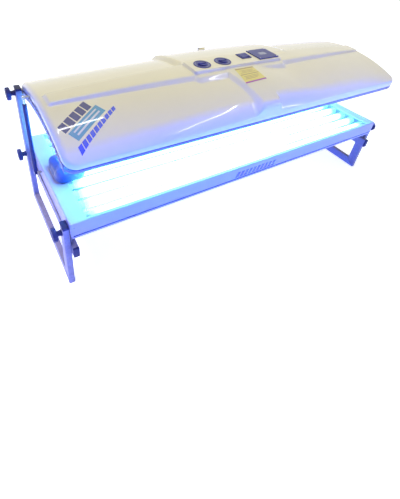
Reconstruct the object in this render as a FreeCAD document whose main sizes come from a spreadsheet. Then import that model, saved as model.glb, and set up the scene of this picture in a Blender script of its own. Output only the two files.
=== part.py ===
import FreeCAD, Part
import math
import os
import Sketcher

# A clamshell tanning bed: a lamp bench carried between two welded end frames, and a lamp
# hood hinged on the tall rear posts and held up by a gas strut at each end.
# Millimetres. X runs along the bed with the pillow end at -X, Y points to the hinge side,
# Z is up, and the origin lies on the floor under the middle of the bed.

SIZES = (
    # End frames, of rectangular steel tube
    ("tube_wide", 50, "wide side of the frame tube"),
    ("tube_thin", 25, "narrow side of the frame tube"),
    ("tube_wall", 2, "wall of the frame tube"),
    ("frame_gap", 0.3, "play between the bench or hood and the frames"),
    ("rear_inset", 21, "rear face of the tall posts inside the bench's rear face"),
    ("front_inset", 14, "front face of the short posts inside the bench's front face"),
    ("rear_post_top", 17, "top of the tall post's tube above the hinge"),
    ("front_post_top", 28, "top of the short post's tube above the clamps"),
    ("cross_tube_overhang", 4, "cross tube beyond the bench's long faces"),
    ("cap_thickness", 9, "head of a tube cap"),
    ("cap_plug", 10, "plug of a tube cap inside the tube"),
    # Bench
    ("end_bay", 80, "from the lamps' ends to the bench's end faces"),
    ("bench_width", 654, "bench from front to rear"),
    ("bench_top", 367, "top edge of the bench"),
    ("bench_dish", 12, "how far the bench top sinks in the middle"),
    ("end_rim", 70, "width of the rim at each end"),
    ("side_rim", 16, "width of the rim at each long side"),
    ("side_face", 69, "height of the long faces"),
    ("end_face", 45, "height of the end faces"),
    ("steel", 2, "sheet steel thickness"),
    ("side_groove", 2.5, "shadow gap under the long faces"),
    ("tray_lip", 11, "height of the tray's lip under the gap"),
    ("box_inset", 42, "gear box inside the bench's long faces"),
    ("box_depth", 46.5, "gear box under the tray"),
    ("panel_recess", 6, "how far the end panels sit behind the end faces"),
    ("end_panel_inset", 27, "end panels inside the bench's long faces"),
    ("acrylic", 4, "acrylic sheet thickness"),
    # Hood
    ("hood_end_gap", 5, "hood's end faces inside the bench's"),
    ("hood_overhang", 3, "how much wider the hood is than the bench, each side"),
    ("hood_forward", 6, "how far the hood's middle lies forward of the bench's"),
    ("arch_radius", 846, "radius of the hood's lower arch"),
    ("lying_height", 325, "from the bench's top edge to the middle of the hood's lower arch"),
    ("crown_rise", 60, "shell's top above the lower arch at the middle of the hood"),
    ("crown_drop", 25, "how much lower the shell's top is at the ends"),
    ("crown_radius", 830, "radius of the shell's top across the hood"),
    ("lip_radius", 42, "rounding along the long edges"),
    ("end_radius", 26, "rounding along the ends"),
    ("shell_wall", 3, "shell thickness"),
    ("spine_rise", 18, "spine above the shell's top at the middle of the hood"),
    ("spine_drop", 29, "how much lower the spine's top is at its ends"),
    ("spine_inset", 28, "spine's ends inside the hood's"),
    ("spine_forward", 16, "how far the spine's middle lies forward"),
    ("spine_end_width", 78, "spine width at its ends"),
    ("spine_mid_width", 122, "spine width beside the control island"),
    ("terrace_width", 172, "width of the spine's terrace round the island"),
    ("island_start", 285, "near end of the island, from the middle"),
    ("island_end", 250, "far end of the island, from the middle"),
    ("island_rise", 7, "flat top of the island above the spine"),
    ("saddle_rise", 20, "how far the saddle stands above the shell"),
    ("saddle_rear_start", 280, "near edge of the rear half of the saddle"),
    ("saddle_rear_end", 360, "far edge of the rear half of the saddle"),
    ("saddle_front_start", 75, "near edge of the front half of the saddle"),
    ("saddle_front_end", 45, "far edge of the front half of the saddle"),
    ("saddle_lip_radius", 12, "rounding along the saddle's long edges"),
    ("gasket", 5, "height of the rubber strip under the shell"),
    ("gasket_width", 14, "width of the rubber strip"),
    ("plate_drop", 36, "height of the hood's end plates below the arch"),
    ("rail_depth", 32, "how far the hood's side rails reach in"),
    ("rail_foot", 18, "height of the side rails below the strip"),
    ("rail_chamfer", 11, "chamfer of the side rails' lower outer edge"),
    ("bracket_width", 27, "hinge bracket across the bed"),
    ("cover_length", 36, "cable cover on the hood's rear edge, along the bed"),
    ("cover_width", 15, "cable cover across the bed"),
    ("cover_height", 8, "cable cover above the shell"),
    ("cover_inset", 10, "cable cover from the hood's rear edge"),
    # Hinge, clamps and knobs
    ("hinge_drop", 59, "axis of the hood's hinge below the lower arch"),
    ("clamp_drop", 65, "axis of the bench clamps below the bench's top edge"),
    ("knob_diameter", 60, "lobed knob across its lobes"),
    ("knob_head", 18, "thickness of the knob's head"),
    ("knob_neck", 20, "length of the knob's neck"),
    ("knob_neck_diameter", 27, "neck of the knob"),
    ("knob_edge", 4.5, "bevel round the knob's head"),
    ("knob_waist", 21, "knob under its head"),
    ("lobe_diameter", 12, "scallops between the knob's lobes"),
    ("lobe_inset", 3, "middle of the scallops beyond the knob's edge"),
    ("lobe_count", 10, "number of lobes"),
    ("stud_diameter", 10, "screw of each knob"),
    ("bush_play", 0.06, "radial play of a pin in its bush"),
    ("hole_play", 0.4, "radial play of a screw in a clearance hole"),
    ("bush_diameter", 26, "bush plates round the screws"),
    # Gas struts
    ("strut_place", 125, "strut's lower pin, toward the hinge from the middle"),
    ("strut_top_place", 115, "strut's upper pin, toward the hinge from the middle"),
    ("strut_foot_drop", 75, "strut's lower pin below the bench's top edge"),
    ("strut_head_drop", 2, "strut's upper pin below the lower arch"),
    ("strut_out", 20, "strut's axis beyond the bench's end face"),
    ("strut_diameter", 18, "gas cylinder"),
    ("rod_diameter", 8, "strut's rod"),
    ("rod_exposed", 32, "from the top of the gas cylinder to the upper pin"),
    ("eye_diameter", 16, "eyes at the strut's ends"),
    ("eye_width", 10, "thickness of the strut's eyes"),
    ("pin_diameter", 8, "pins of the strut"),
    ("pin_head", 11, "heads and collars of the strut's pins"),
    ("shank_length", 5, "from the lower eye to the gas cylinder"),
    ("plug_length", 4, "closed foot of the gas cylinder"),
    ("gland_depth", 16, "guide in the top of the gas cylinder"),
    ("piston_place", 136, "from the piston to the top of the gas cylinder"),
    ("piston_length", 8, "piston"),
    # Lamps and their gear
    ("lamp_length", 1764, "fluorescent tanning lamp from end to end"),
    ("lamp_diameter", 38, "lamp glass"),
    ("lamp_cap_length", 14, "metal cap of a lamp"),
    ("lamp_count", 9, "lamps in each half"),
    ("bench_lamp_clear", 28, "outer bench lamps to the bench's long faces"),
    ("hood_lamp_clear", 23, "outer hood lamps to the side rails, on average"),
    ("lamp_clear", 2.5, "between the acrylic and the lamps"),
    ("lamp_wall", 1, "lamp glass thickness"),
    ("lamp_row_forward", 15, "how far the hood's middle lamp lies forward of the bench's"),
    ("hood_acrylic_drop", 33, "underside of the hood's acrylic below the arch"),
    ("holder_length", 22, "lampholder along the lamp"),
    ("holder_grip", 5, "how far a lamp cap enters its holder"),
    ("holder_play", 0.3, "play of a lamp cap in its holder"),
    ("ridge_height", 28, "reflector ridges between lamps"),
    ("ridge_foot", 24, "reflector ridge across its foot"),
    ("reflector", 1, "reflector sheet thickness"),
    ("ballast_length", 190, "ballast"),
    ("ballast_width", 42, "ballast"),
    ("ballast_height", 36, "ballast"),
    ("ballast_count", 5, "ballasts in each half"),
    ("gland_diameter", 21, "flange of the mains gland"),
    ("gland_nose", 15, "nose of the mains gland"),
    ("gland_length", 14, "nose of the mains gland beyond the gear box"),
    ("starter_diameter", 21, "lamp starter"),
    ("starter_length", 34, "lamp starter"),
    ("socket_pitch", 30, "spacing of the two sockets of a lamp"),
    ("socket_diameter", 22, "ring of an end-plate socket"),
    ("socket_bore", 13, "hole of an end-plate socket"),
    # Controls on the island
    ("panel_plate", 2, "control plate thickness"),
    ("panel_margin", 4, "island beyond the control plate"),
    ("timer_diameter", 84, "timer's dial plate"),
    ("timer_plate", 3, "timer's dial plate thickness"),
    ("timer_near", 209, "axis of the near timer, from the middle"),
    ("timer_far", 90, "axis of the far timer, from the middle"),
    ("timer_knob_diameter", 44, "timer knob"),
    ("timer_knob_height", 4, "timer knob's skirt"),
    ("timer_grip_height", 3, "timer knob's grip above the skirt"),
    ("timer_grip_width", 12, "timer knob's grip"),
    ("timer_body", 52, "timer movement, square"),
    ("timer_body_height", 30, "timer movement"),
    ("spindle_diameter", 6, "timer spindle"),
    ("switch_length", 60, "switch frame along the bed"),
    ("switch_width", 56, "switch frame across the bed"),
    ("switch_place", 58, "middle of the switch along the bed"),
    ("switch_back", 20, "switch behind the island's middle"),
    ("switch_border", 7, "border of the switch frame"),
    ("switch_frame", 4, "height of the switch frame"),
    ("rocker_rise", 4, "how far the rocker's raised end stands above its other end"),
    ("rocker_thickness", 4, "rocker"),
    ("rocker_play", 0.8, "rocker to its frame at both ends"),
    ("rocker_taper", 1.2, "rocker's ends lean in toward its top"),
    ("rocker_pin", 2.4, "rocker's pivot pins"),
    ("rocker_pin_length", 2, "rocker's pivot pins beyond its sides"),
    ("display_length", 126, "display panel along the bed"),
    ("display_width", 112, "display panel across the bed"),
    ("display_place", 176, "middle of the display panel along the bed"),
    ("display_back", 12, "display panel behind the island's middle"),
    ("display_height", 5, "display panel"),
    ("window_length", 46, "display window along the bed"),
    ("window_width", 30, "display window across the bed"),
    ("window_thickness", 2, "display window"),
    ("small_screw", 7, "head of a panel screw"),
    # Pillow
    ("pillow_length", 140, "pillow along the bed"),
    ("pillow_width", 176, "pillow across the bed"),
    ("pillow_height", 70, "pillow at its two sides"),
    ("pillow_dip", 18, "hollow of the pillow"),
    ("pillow_inset", 22, "pillow behind the bench's end face"),
    ("pillow_rest", 0.3, "seat of the pillow above the bench"),
    ("pillow_edge", 1.5, "rounding of the pillow's foot"),
    ("pillow_shoulder", 25, "width of the pillow's raised sides"),
)

doc = FreeCAD.newDocument("TanningBed")
sheet = doc.addObject("Spreadsheet::Sheet", "Sizes")
for row, (name, value, meaning) in enumerate(SIZES, start=1):
    sheet.set(f"A{row}", name)
    sheet.set(f"B{row}", str(value))
    sheet.setAlias(f"B{row}", name)
    sheet.set(f"C{row}", meaning)
doc.recompute()

VECTOR = FreeCAD.Vector
X_AXIS, Y_AXIS, Z_AXIS = VECTOR(1, 0, 0), VECTOR(0, 1, 0), VECTOR(0, 0, 1)
SUBPARTS = []


class Term:
    """A length that knows its number and its formula in the sheet."""

    def __init__(self, number, formula):
        self.number = number
        self.formula = formula

    def __add__(self, other):
        other = term(other)
        return Term(self.number + other.number, f"({self.formula} + {other.formula})")

    def __sub__(self, other):
        other = term(other)
        return Term(self.number - other.number, f"({self.formula} - {other.formula})")

    def __rsub__(self, other):
        return term(other) - self

    def __mul__(self, other):
        other = term(other)
        return Term(self.number * other.number, f"({self.formula} * {other.formula})")

    def __truediv__(self, other):
        other = term(other)
        return Term(self.number / other.number, f"({self.formula} / {other.formula})")

    def __neg__(self):
        return Term(-self.number, f"(0 - {self.formula})")

    __radd__ = __add__
    __rmul__ = __mul__


def term(value):
    """A plain number or a Term, as a Term."""
    if isinstance(value, Term):
        return value
    return Term(float(value), f"{float(value):.6f}")


def root(value):
    """Square root of a Term."""
    return Term(math.sqrt(value.number), f"sqrt({value.formula})")


class Sizes:
    """The sheet's cells as Terms."""

    def __getattr__(self, name):
        return Term(float(getattr(sheet, name)), f"Sizes.{name}")


size = Sizes()


def bind(item, prop, value):
    """Tie one property of a document object to the sheet."""
    item.setExpression(prop, term(value).formula)


def name_part(item, label):
    """Give a finished sub-part its label and list it for export."""
    item.Label = label
    SUBPARTS.append(item)
    return item


def place(item, x=0, y=0, z=0):
    """Bind a document object's position."""
    for axis, value in zip("xyz", (x, y, z)):
        bind(item, f"Placement.Base.{axis}", value)
    return item


# ---------------------------------------------------------------- building blocks

def block(start, length):
    """Part::Box from its low corner and its three lengths."""
    item = doc.addObject("Part::Box", "Block")
    for prop, value in zip(("Length", "Width", "Height"), length):
        bind(item, prop, value)
    return place(item, *start)


def rod(start, radius, length, axis=Z_AXIS):
    """Part::Cylinder from the middle of its first face, along an axis."""
    item = doc.addObject("Part::Cylinder", "Rod")
    bind(item, "Radius", radius)
    bind(item, "Height", length)
    item.Placement = FreeCAD.Placement(VECTOR(), FreeCAD.Rotation(Z_AXIS, axis))
    return place(item, *start)


def fused(items, label=None):
    """Part::MultiFuse of several items."""
    item = doc.addObject("Part::MultiFuse", "Fused")
    item.Shapes = items
    item.Refine = True
    return name_part(item, label) if label else item


def cut(base, tools, label=None):
    """Part::Cut of a base by one or more tools."""
    item = doc.addObject("Part::Cut", "Cut")
    item.Base = base
    item.Tool = tools[0] if len(tools) == 1 else fused(tools)
    return name_part(item, label) if label else item


def group(items, label):
    """Like pieces kept as separate solids in one sub-part."""
    item = doc.addObject("Part::Compound", "Group")
    item.Links = items
    return name_part(item, label)


def origin_plane(body, role):
    """One of a body's own origin planes."""
    return [item for item in body.Origin.OriginFeatures if item.Role == role][0]


class Arc:
    """Marks the edge to the next corner as an arc; its bulge is left (+1) or right (-1)."""

    def __init__(self, radius, bulge):
        self.radius = term(radius)
        self.bulge = bulge


def arc_curve(start, end, radius, bulge):
    """Arc between two corners, and whether it runs against its own direction."""
    chord = (end - start).Length
    middle = (start + end) * 0.5
    along = (end - start).normalize()
    left = VECTOR(-along.y, along.x, 0)
    reach = math.sqrt(max(radius * radius - chord * chord / 4, 0))
    centre = middle - left * (bulge * reach)
    angles = [math.atan2(point.y - centre.y, point.x - centre.x) for point in (start, end)]
    against = bulge > 0
    if against:
        angles.reverse()
    circle = Part.Circle(centre, Z_AXIS, radius)
    return Part.ArcOfCircle(circle, angles[0], angles[1]), against


def draw(sketch, corners):
    """Draw one closed outline of lines and arcs, every corner bound to the sheet."""
    points, arcs = [], {}
    for corner in corners:
        if isinstance(corner, Arc):
            arcs[len(points) - 1] = corner
        else:
            points.append((term(corner[0]), term(corner[1])))
    spots = [VECTOR(across.number, up.number, 0) for across, up in points]
    first, ends = sketch.GeometryCount, []
    for index, spot in enumerate(spots):
        following = spots[(index + 1) % len(spots)]
        if index in arcs:
            curve, against = arc_curve(spot, following, arcs[index].radius.number, arcs[index].bulge)
        else:
            curve, against = Part.LineSegment(spot, following), False
        sketch.addGeometry(curve, False)
        ends.append((2, 1) if against else (1, 2))
    for index in range(len(spots)):
        after = (index + 1) % len(spots)
        sketch.addConstraint(Sketcher.Constraint(
            "Coincident", first + index, ends[index][1], first + after, ends[after][0]))
    for index, pair in enumerate(points):
        for kind, value in zip(("DistanceX", "DistanceY"), pair):
            place_in = sketch.addConstraint(Sketcher.Constraint(
                kind, -1, 1, first + index, ends[index][0], value.number))
            sketch.setExpression(f"Constraints[{place_in}]", value.formula)
        if index in arcs:
            place_in = sketch.addConstraint(Sketcher.Constraint(
                "Radius", first + index, arcs[index].radius.number))
            sketch.setExpression(f"Constraints[{place_in}]", arcs[index].radius.formula)


def ring(sketch, across, up, radius):
    """Draw one circle, its middle and radius bound to the sheet."""
    across, up, radius = term(across), term(up), term(radius)
    index = sketch.addGeometry(
        Part.Circle(VECTOR(across.number, up.number, 0), Z_AXIS, radius.number), False)
    for kind, value in (("DistanceX", across), ("DistanceY", up)):
        place_in = sketch.addConstraint(Sketcher.Constraint(kind, -1, 1, index, 3, value.number))
        sketch.setExpression(f"Constraints[{place_in}]", value.formula)
    place_in = sketch.addConstraint(Sketcher.Constraint("Radius", index, radius.number))
    sketch.setExpression(f"Constraints[{place_in}]", radius.formula)


def new_body():
    """An empty PartDesign body."""
    return doc.addObject("PartDesign::Body", "Body")


def sketch_on(body, role, start):
    """A sketch parallel to one of the body's origin planes, a bound distance along its normal."""
    sketch = body.newObject("Sketcher::SketchObject", "Sketch")
    sketch.AttachmentSupport = [(origin_plane(body, role), "")]
    sketch.MapMode = "FlatFace"
    bind(sketch, "AttachmentOffset.Base.z", start)
    return sketch


def pad(body, role, start, length, corners=None, circles=()):
    """Pad a closed outline, or circles, along the plane's normal from a bound start."""
    sketch = sketch_on(body, role, start)
    if corners:
        draw(sketch, corners)
    for circle in circles:
        ring(sketch, *circle)
    feature = body.newObject("PartDesign::Pad", "Pad")
    feature.Profile = sketch
    feature.AllowMultiFace = True
    bind(feature, "Length", length)
    return feature


def pocket(body, role, start, length, corners=None, circles=()):
    """Cut a closed outline, or circles, along the plane's normal from a bound start."""
    sketch = sketch_on(body, role, start)
    if corners:
        draw(sketch, corners)
    for circle in circles:
        ring(sketch, *circle)
    feature = body.newObject("PartDesign::Pocket", "Pocket")
    feature.Profile = sketch
    feature.AllowMultiFace = True
    feature.Reversed = True
    bind(feature, "Length", length)
    return feature


def rectangle(low_across, low_up, high_across, high_up):
    """Corners of a rectangle."""
    return [(low_across, low_up), (high_across, low_up),
            (high_across, high_up), (low_across, high_up)]


# ---------------------------------------------------------------- shared places

SIDES = ((-1, "near"), (1, "far"))

bench_length = size.lamp_length + 2 * size.end_bay
bench_end = bench_length / 2
bench_side = size.bench_width / 2
panel_face = bench_end - size.panel_recess
tray_end = panel_face - size.steel
tray_bottom = size.bench_top - size.side_face - size.side_groove - size.tray_lip
acrylic_under = size.bench_top - size.steel - size.acrylic
box_floor = tray_bottom - size.box_depth
box_width = size.bench_width - 2 * size.box_inset
end_panel_width = size.bench_width - 2 * size.end_panel_inset
gaps_between_lamps = size.lamp_count - 1
holder_radius = size.lamp_diameter / 2 + size.steel
bench_pitch = (size.bench_width - size.lamp_diameter - 2 * size.bench_lamp_clear) / gaps_between_lamps

hood_length = bench_length - 2 * size.hood_end_gap
hood_width = size.bench_width + 2 * size.hood_overhang
hood_end = hood_length / 2
hood_front = -size.hood_forward - hood_width / 2
hood_rear = -size.hood_forward + hood_width / 2
arch_top = size.bench_top + size.lying_height
crown_height = arch_top + size.crown_rise
spine_height = crown_height + size.spine_rise
spine_length = hood_length - 2 * size.spine_inset
island_top = spine_height + size.island_rise
hood_pitch = (hood_width - 2 * size.rail_depth - size.lamp_diameter
              - 2 * size.hood_lamp_clear) / gaps_between_lamps

hood_lamp_radius = (size.arch_radius - size.hood_acrylic_drop + size.acrylic + size.lamp_clear
                    + size.lamp_diameter / 2)
hood_reflector_rise = hood_lamp_radius + holder_radius + size.frame_gap - size.arch_radius

frame_inner = bench_end + size.frame_gap
frame_outer = frame_inner + size.tube_thin
rear_face = bench_side - size.rear_inset
front_face = bench_side - size.front_inset
rear_axis = rear_face - size.tube_wide / 2
front_axis = -front_face + size.tube_wide / 2
cross_tube_bottom = box_floor - size.tube_wide
cross_tube_length = size.bench_width + 2 * size.cross_tube_overhang
clamp_height = size.bench_top - size.clamp_drop
hinge_height = arch_top - size.hinge_drop
rear_post_height = hinge_height + size.rear_post_top
front_post_height = clamp_height + size.front_post_top
strut_foot_height = size.bench_top - size.strut_foot_drop
strut_head_height = arch_top - size.strut_head_drop


def dish_radius(width):
    """Radius of the dished bench top across a given width, about one shared middle."""
    full = bench_side * bench_side / (2 * size.bench_dish) + size.bench_dish / 2
    return full


def across_dish(half, level):
    """Height on the dished surface at a distance from the middle; level is its edge height."""
    radius = dish_radius(half)
    depth = root(radius * radius - half * half) - root(radius * radius - bench_side * bench_side)
    return level - depth


def arch_height(half, radius, top):
    """Height of an arch of a given radius and top at a distance from the hood's middle."""
    return top - radius + root(radius * radius - half * half)


# ---------------------------------------------------------------- end frames

def frame_tube(label, side, outer, inner, holes=()):
    """One hollow tube of an end frame, from its side outline and that of its hollow."""
    body = new_body()
    start = frame_inner if side > 0 else -frame_outer
    pad(body, "YZ_Plane", start, size.tube_thin, outer)
    pocket(body, "YZ_Plane", start + size.tube_wall, size.tube_thin - 2 * size.tube_wall, inner)
    for height, axis in holes:
        radius = size.stud_diameter / 2 + size.hole_play
        pocket(body, "YZ_Plane", start, size.tube_thin, circles=[(axis, height, radius)])
    return name_part(body, label)


def post(label, side, face, way, height, holes):
    """An upright tube, mitred at its foot; way points from its outer face into the frame."""
    wide, wall = size.tube_wide, size.tube_wall
    inner_face = face + way * wide
    outer = [(face, 0), (inner_face, wide), (inner_face, height), (face, height)]
    hollow_outer, hollow_inner = face + way * wall, inner_face - way * wall
    inner = [(hollow_outer, wall), (hollow_inner, wide - wall),
             (hollow_inner, height), (hollow_outer, height)]
    frame_tube(label, side, outer, inner, holes)


def floor_bar(label, side):
    """The tube that lies on the floor, mitred to both posts."""
    wide, wall = size.tube_wide, size.tube_wall
    rear, front = rear_face, -front_face
    outer = [(rear, 0), (rear - wide, wide), (front + wide, wide), (front, 0)]
    inner = [(rear - wall, wall), (rear - wide + wall, wide - wall),
             (front + wide - wall, wide - wall), (front + wall, wall)]
    frame_tube(label, side, outer, inner)


def cross_tube(side):
    """The tube across the posts' inner faces that carries the bench."""
    body = new_body()
    start = frame_inner - size.tube_thin if side > 0 else -frame_inner
    half = cross_tube_length / 2
    low, wall = cross_tube_bottom, size.tube_wall
    thin, wide = size.tube_thin, size.tube_wide
    pad(body, "YZ_Plane", start, thin, rectangle(-half, low, half, low + wide))
    pocket(body, "YZ_Plane", start + wall, thin - 2 * wall,
           rectangle(-half, low + wall, half, low + wide - wall))
    return body


def upright_cap(side, face, way, height):
    """A plastic cap in the open top of a post."""
    wall, play = size.tube_wall, size.hole_play
    start = frame_inner if side > 0 else -frame_outer
    low_y = face if way > 0 else face - size.tube_wide
    head = block((start, low_y, height), (size.tube_thin, size.tube_wide, size.cap_thickness))
    inset = wall + play / 2
    plug = block((start + inset, low_y + inset, height - size.cap_plug),
                 (size.tube_thin - 2 * inset, size.tube_wide - 2 * inset, size.cap_plug))
    return fused([head, plug])


def level_cap(side, way):
    """A plastic cap in one open end of a cross tube."""
    half, low = cross_tube_length / 2, cross_tube_bottom
    inset = size.tube_wall + size.hole_play / 2
    start = frame_inner - size.tube_thin if side > 0 else -frame_inner
    head_y = half if way > 0 else -half - size.cap_thickness
    plug_y = half - size.cap_plug if way > 0 else -half
    head = block((start, head_y, low), (size.tube_thin, size.cap_thickness, size.tube_wide))
    plug = block((start + inset, plug_y, low + inset),
                 (size.tube_thin - 2 * inset, size.cap_plug, size.tube_wide - 2 * inset))
    return fused([head, plug])


def build_end_frames():
    """Posts, floor bars, cross tubes and all their caps."""
    for side, end in SIDES:
        post(f"{end}_rear_post", side, rear_face, -1, rear_post_height,
             [(hinge_height, rear_axis), (clamp_height, rear_axis)])
        post(f"{end}_front_post", side, -front_face, 1, front_post_height,
             [(clamp_height, front_axis)])
        floor_bar(f"{end}_floor_bar", side)
    group([cross_tube(side) for side, _ in SIDES], "cross_tubes")
    caps = [level_cap(side, way) for side, _ in SIDES for way in (-1, 1)]
    for side, _ in SIDES:
        caps.append(upright_cap(side, rear_face, -1, rear_post_height))
        caps.append(upright_cap(side, -front_face, 1, front_post_height))
    group(caps, "tube_caps")


# ---------------------------------------------------------------- bench

def dished_outline(half, edge, thickness, flat_bottom=None):
    """Outline of a dished sheet, or of a dished top over a flat bottom."""
    radius = dish_radius(half)
    top = across_dish(half, edge)
    if flat_bottom is not None:
        return [(-half, flat_bottom), (half, flat_bottom), (half, top), Arc(radius, 1),
                (-half, top)]
    return [(-half, top - thickness), Arc(radius + thickness, -1), (half, top - thickness),
            (half, top), Arc(radius, 1), (-half, top)]


def bench_surround():
    """One-piece painted surround: dished rim, long faces and shallower end faces."""
    body = new_body()
    length, top, steel = bench_length, size.bench_top, size.steel
    pad(body, "YZ_Plane", -bench_end, length, dished_outline(bench_side, top, steel))
    opening_x, opening_y = bench_end - size.end_rim, bench_side - size.side_rim
    pocket(body, "XY_Plane", top - size.side_face, size.side_face + steel,
           rectangle(-opening_x, -opening_y, opening_x, opening_y))
    face_low = top - size.side_face
    for way in (-1, 1):
        outer, inner = way * bench_side, way * (bench_side - steel)
        shelf = across_dish(bench_side - steel, top) - steel / 2
        pad(body, "YZ_Plane", -bench_end, length,
            [(outer, face_low), (outer, top), (inner, shelf), (inner, face_low)])
    for start in (-bench_end, bench_end - steel):
        pad(body, "YZ_Plane", start, steel,
            dished_outline(bench_side, top, steel, top - size.end_face))
    return name_part(body, "bench_surround")


def bench_tray():
    """Steel tray under the lamps; its lip shows under the surround's long faces."""
    steel = size.steel
    lip = bench_side - 1
    wall = bench_side - steel - size.frame_gap
    low, lip_top = tray_bottom, tray_bottom + size.tray_lip
    high = across_dish(wall, acrylic_under) - size.frame_gap
    outline = [(-lip, low), (lip, low), (lip, lip_top), (wall, lip_top), (wall, high),
               (wall - steel, high), (wall - steel, low + steel), (steel - wall, low + steel),
               (steel - wall, high), (-wall, high), (-wall, lip_top), (-lip, lip_top)]
    body = new_body()
    pad(body, "YZ_Plane", -tray_end, 2 * tray_end, outline)
    return name_part(body, "bench_tray")


def gear_box():
    """Sheet box under the tray that holds the ballasts and stands on the cross tubes."""
    half, steel = box_width / 2, size.steel
    outline = [(-half, box_floor), (half, box_floor), (half, tray_bottom),
               (half - steel, tray_bottom), (half - steel, box_floor + steel),
               (steel - half, box_floor + steel), (steel - half, tray_bottom),
               (-half, tray_bottom)]
    body = new_body()
    pad(body, "YZ_Plane", -tray_end, 2 * tray_end, outline)
    return name_part(body, "gear_box")


def end_panel(side):
    """Recessed panel that closes the tray and the gear box at one end."""
    body = new_body()
    start = tray_end if side > 0 else -panel_face
    half = end_panel_width / 2
    high = across_dish(half, acrylic_under) - size.bench_dish
    pad(body, "YZ_Plane", start, size.steel, rectangle(-half, box_floor, half, high))
    bore = size.stud_diameter / 2 + size.hole_play
    foot_bore = size.pin_diameter / 2 + size.hole_play
    pocket(body, "YZ_Plane", start, size.steel,
           circles=[(rear_axis, clamp_height, bore),
                    (front_axis, clamp_height, bore),
                    (size.strut_place, strut_foot_height, foot_bore)])
    return body


def clamp_bush(side, axis):
    """Threaded bush between an end panel and a post, that a clamp knob screws into."""
    depth = size.panel_recess + size.frame_gap
    start = panel_face if side > 0 else -panel_face - depth
    plate = rod((start, axis, clamp_height), size.bush_diameter / 2, depth, X_AXIS)
    bore = rod((start, axis, clamp_height),
               size.stud_diameter / 2 + size.bush_play, depth, X_AXIS)
    return cut(plate, [bore])


def bench_acrylic():
    """Dished acrylic sheet that the user lies on."""
    body = new_body()
    half = bench_side - size.steel - size.frame_gap
    edge = size.bench_top - size.steel
    pad(body, "YZ_Plane", -tray_end, 2 * tray_end, dished_outline(half, edge, size.acrylic))
    return name_part(body, "bench_acrylic")


def bench_lamp_axis(place_y):
    """Height of a bench lamp's axis at its place across the bench."""
    radius = dish_radius(place_y)
    depth = root(radius * radius - place_y * place_y) - root(radius * radius - bench_side * bench_side)
    return acrylic_under - depth - size.lamp_clear - size.lamp_diameter / 2


def hood_lamp_axis(place_y):
    """Height of a hood lamp's axis at its place across the hood."""
    reach = place_y + size.hood_forward
    return arch_height(reach, hood_lamp_radius, arch_top + hood_lamp_radius - size.arch_radius)


def lamp_places(pitch, forward=0):
    """Places of the lamps across the bed."""
    count = int(size.lamp_count.number)
    return [(index - (count - 1) / 2) * pitch - forward for index in range(count)]


def lamp_set(prefix, places, axis_height, foot=None):
    """Glass tubes, metal caps and lampholders of one half."""
    radius = size.lamp_diameter / 2
    half = size.lamp_length / 2
    glass_half = half - size.lamp_cap_length
    tubes, caps, holders = [], [], []
    for place_y in places:
        height = axis_height(place_y)
        glass = rod((-glass_half, place_y, height), radius, 2 * glass_half, X_AXIS)
        hollow = rod((-glass_half, place_y, height), radius - size.lamp_wall, 2 * glass_half, X_AXIS)
        tubes.append(cut(glass, [hollow]))
        for side, _ in SIDES:
            start = glass_half if side > 0 else -half
            caps.append(rod((start, place_y, height), radius, size.lamp_cap_length, X_AXIS))
            holders.append(lampholder(side, place_y, height, foot))
    group(tubes, f"{prefix}_lamp_tubes")
    group(caps, f"{prefix}_lamp_caps")
    group(holders, f"{prefix}_lampholders")


def lampholder(side, across, height, foot):
    """Plastic holder whose round recess takes a lamp's cap; foot is the level it stands on."""
    radius = size.lamp_diameter / 2
    face = size.lamp_length / 2 - size.holder_grip
    start = face if side > 0 else -face - size.holder_length
    shell = rod((start, across, height), holder_radius, size.holder_length, X_AXIS)
    if foot is not None:
        stand = block((start, across - radius / 2, foot),
                      (size.holder_length, radius, height - radius - foot))
        shell = fused([shell, stand])
    recess_depth = size.holder_grip + size.holder_play
    recess_start = face if side > 0 else -face - recess_depth
    recess = rod((recess_start, across, height), radius + size.holder_play, recess_depth, X_AXIS)
    return cut(shell, [recess])


def bench_reflector():
    """Aluminium sheet with a ridge between every two lamps, on two legs along its edges."""
    places = lamp_places(bench_pitch)
    base, floor = size.bench_top - size.side_face, tray_bottom + size.steel
    half_foot, rise, sheet_t = size.ridge_foot / 2, size.ridge_height, size.reflector
    edge = bench_side - size.steel * 3
    bends = [(places[0] - bench_pitch / 2 + half_foot, base)]
    for index in range(len(places) - 1):
        middle = places[index] + bench_pitch / 2
        bends += [(middle - half_foot, base), (middle, base + rise), (middle + half_foot, base)]
    bends.append((places[-1] + bench_pitch / 2 - half_foot, base))
    upper = [(-edge, floor), (-edge, base + rise)] + bends + [(edge, base + rise), (edge, floor)]
    inner = edge - sheet_t
    lower = [(inner, floor), (inner, base + rise - sheet_t)]
    lower += [(across, height - sheet_t) for across, height in reversed(bends)]
    lower += [(-inner, base + rise - sheet_t), (-inner, floor)]
    body = new_body()
    half = size.lamp_length / 2 - size.holder_grip - size.steel
    pad(body, "YZ_Plane", -half, 2 * half, upper + lower)
    return name_part(body, "bench_reflector")


def bench_gear():
    """Ballasts and starters in the gear box."""
    count = int(size.ballast_count.number)
    floor = box_floor + size.steel
    step = (2 * tray_end - 2 * size.ballast_length) / count
    ballasts = []
    for index in range(count):
        start = size.ballast_length - tray_end + step * index
        ballasts.append(block((start, -size.ballast_width / 2, floor),
                              (size.ballast_length, size.ballast_width, size.ballast_height)))
    group(ballasts, "bench_ballasts")
    starters = [rod((size.ballast_length / 2 - tray_end, place_y, floor),
                    size.starter_diameter / 2, size.starter_length)
                for place_y in lamp_places(bench_pitch / 2)]
    group(starters, "bench_starters")


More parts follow.
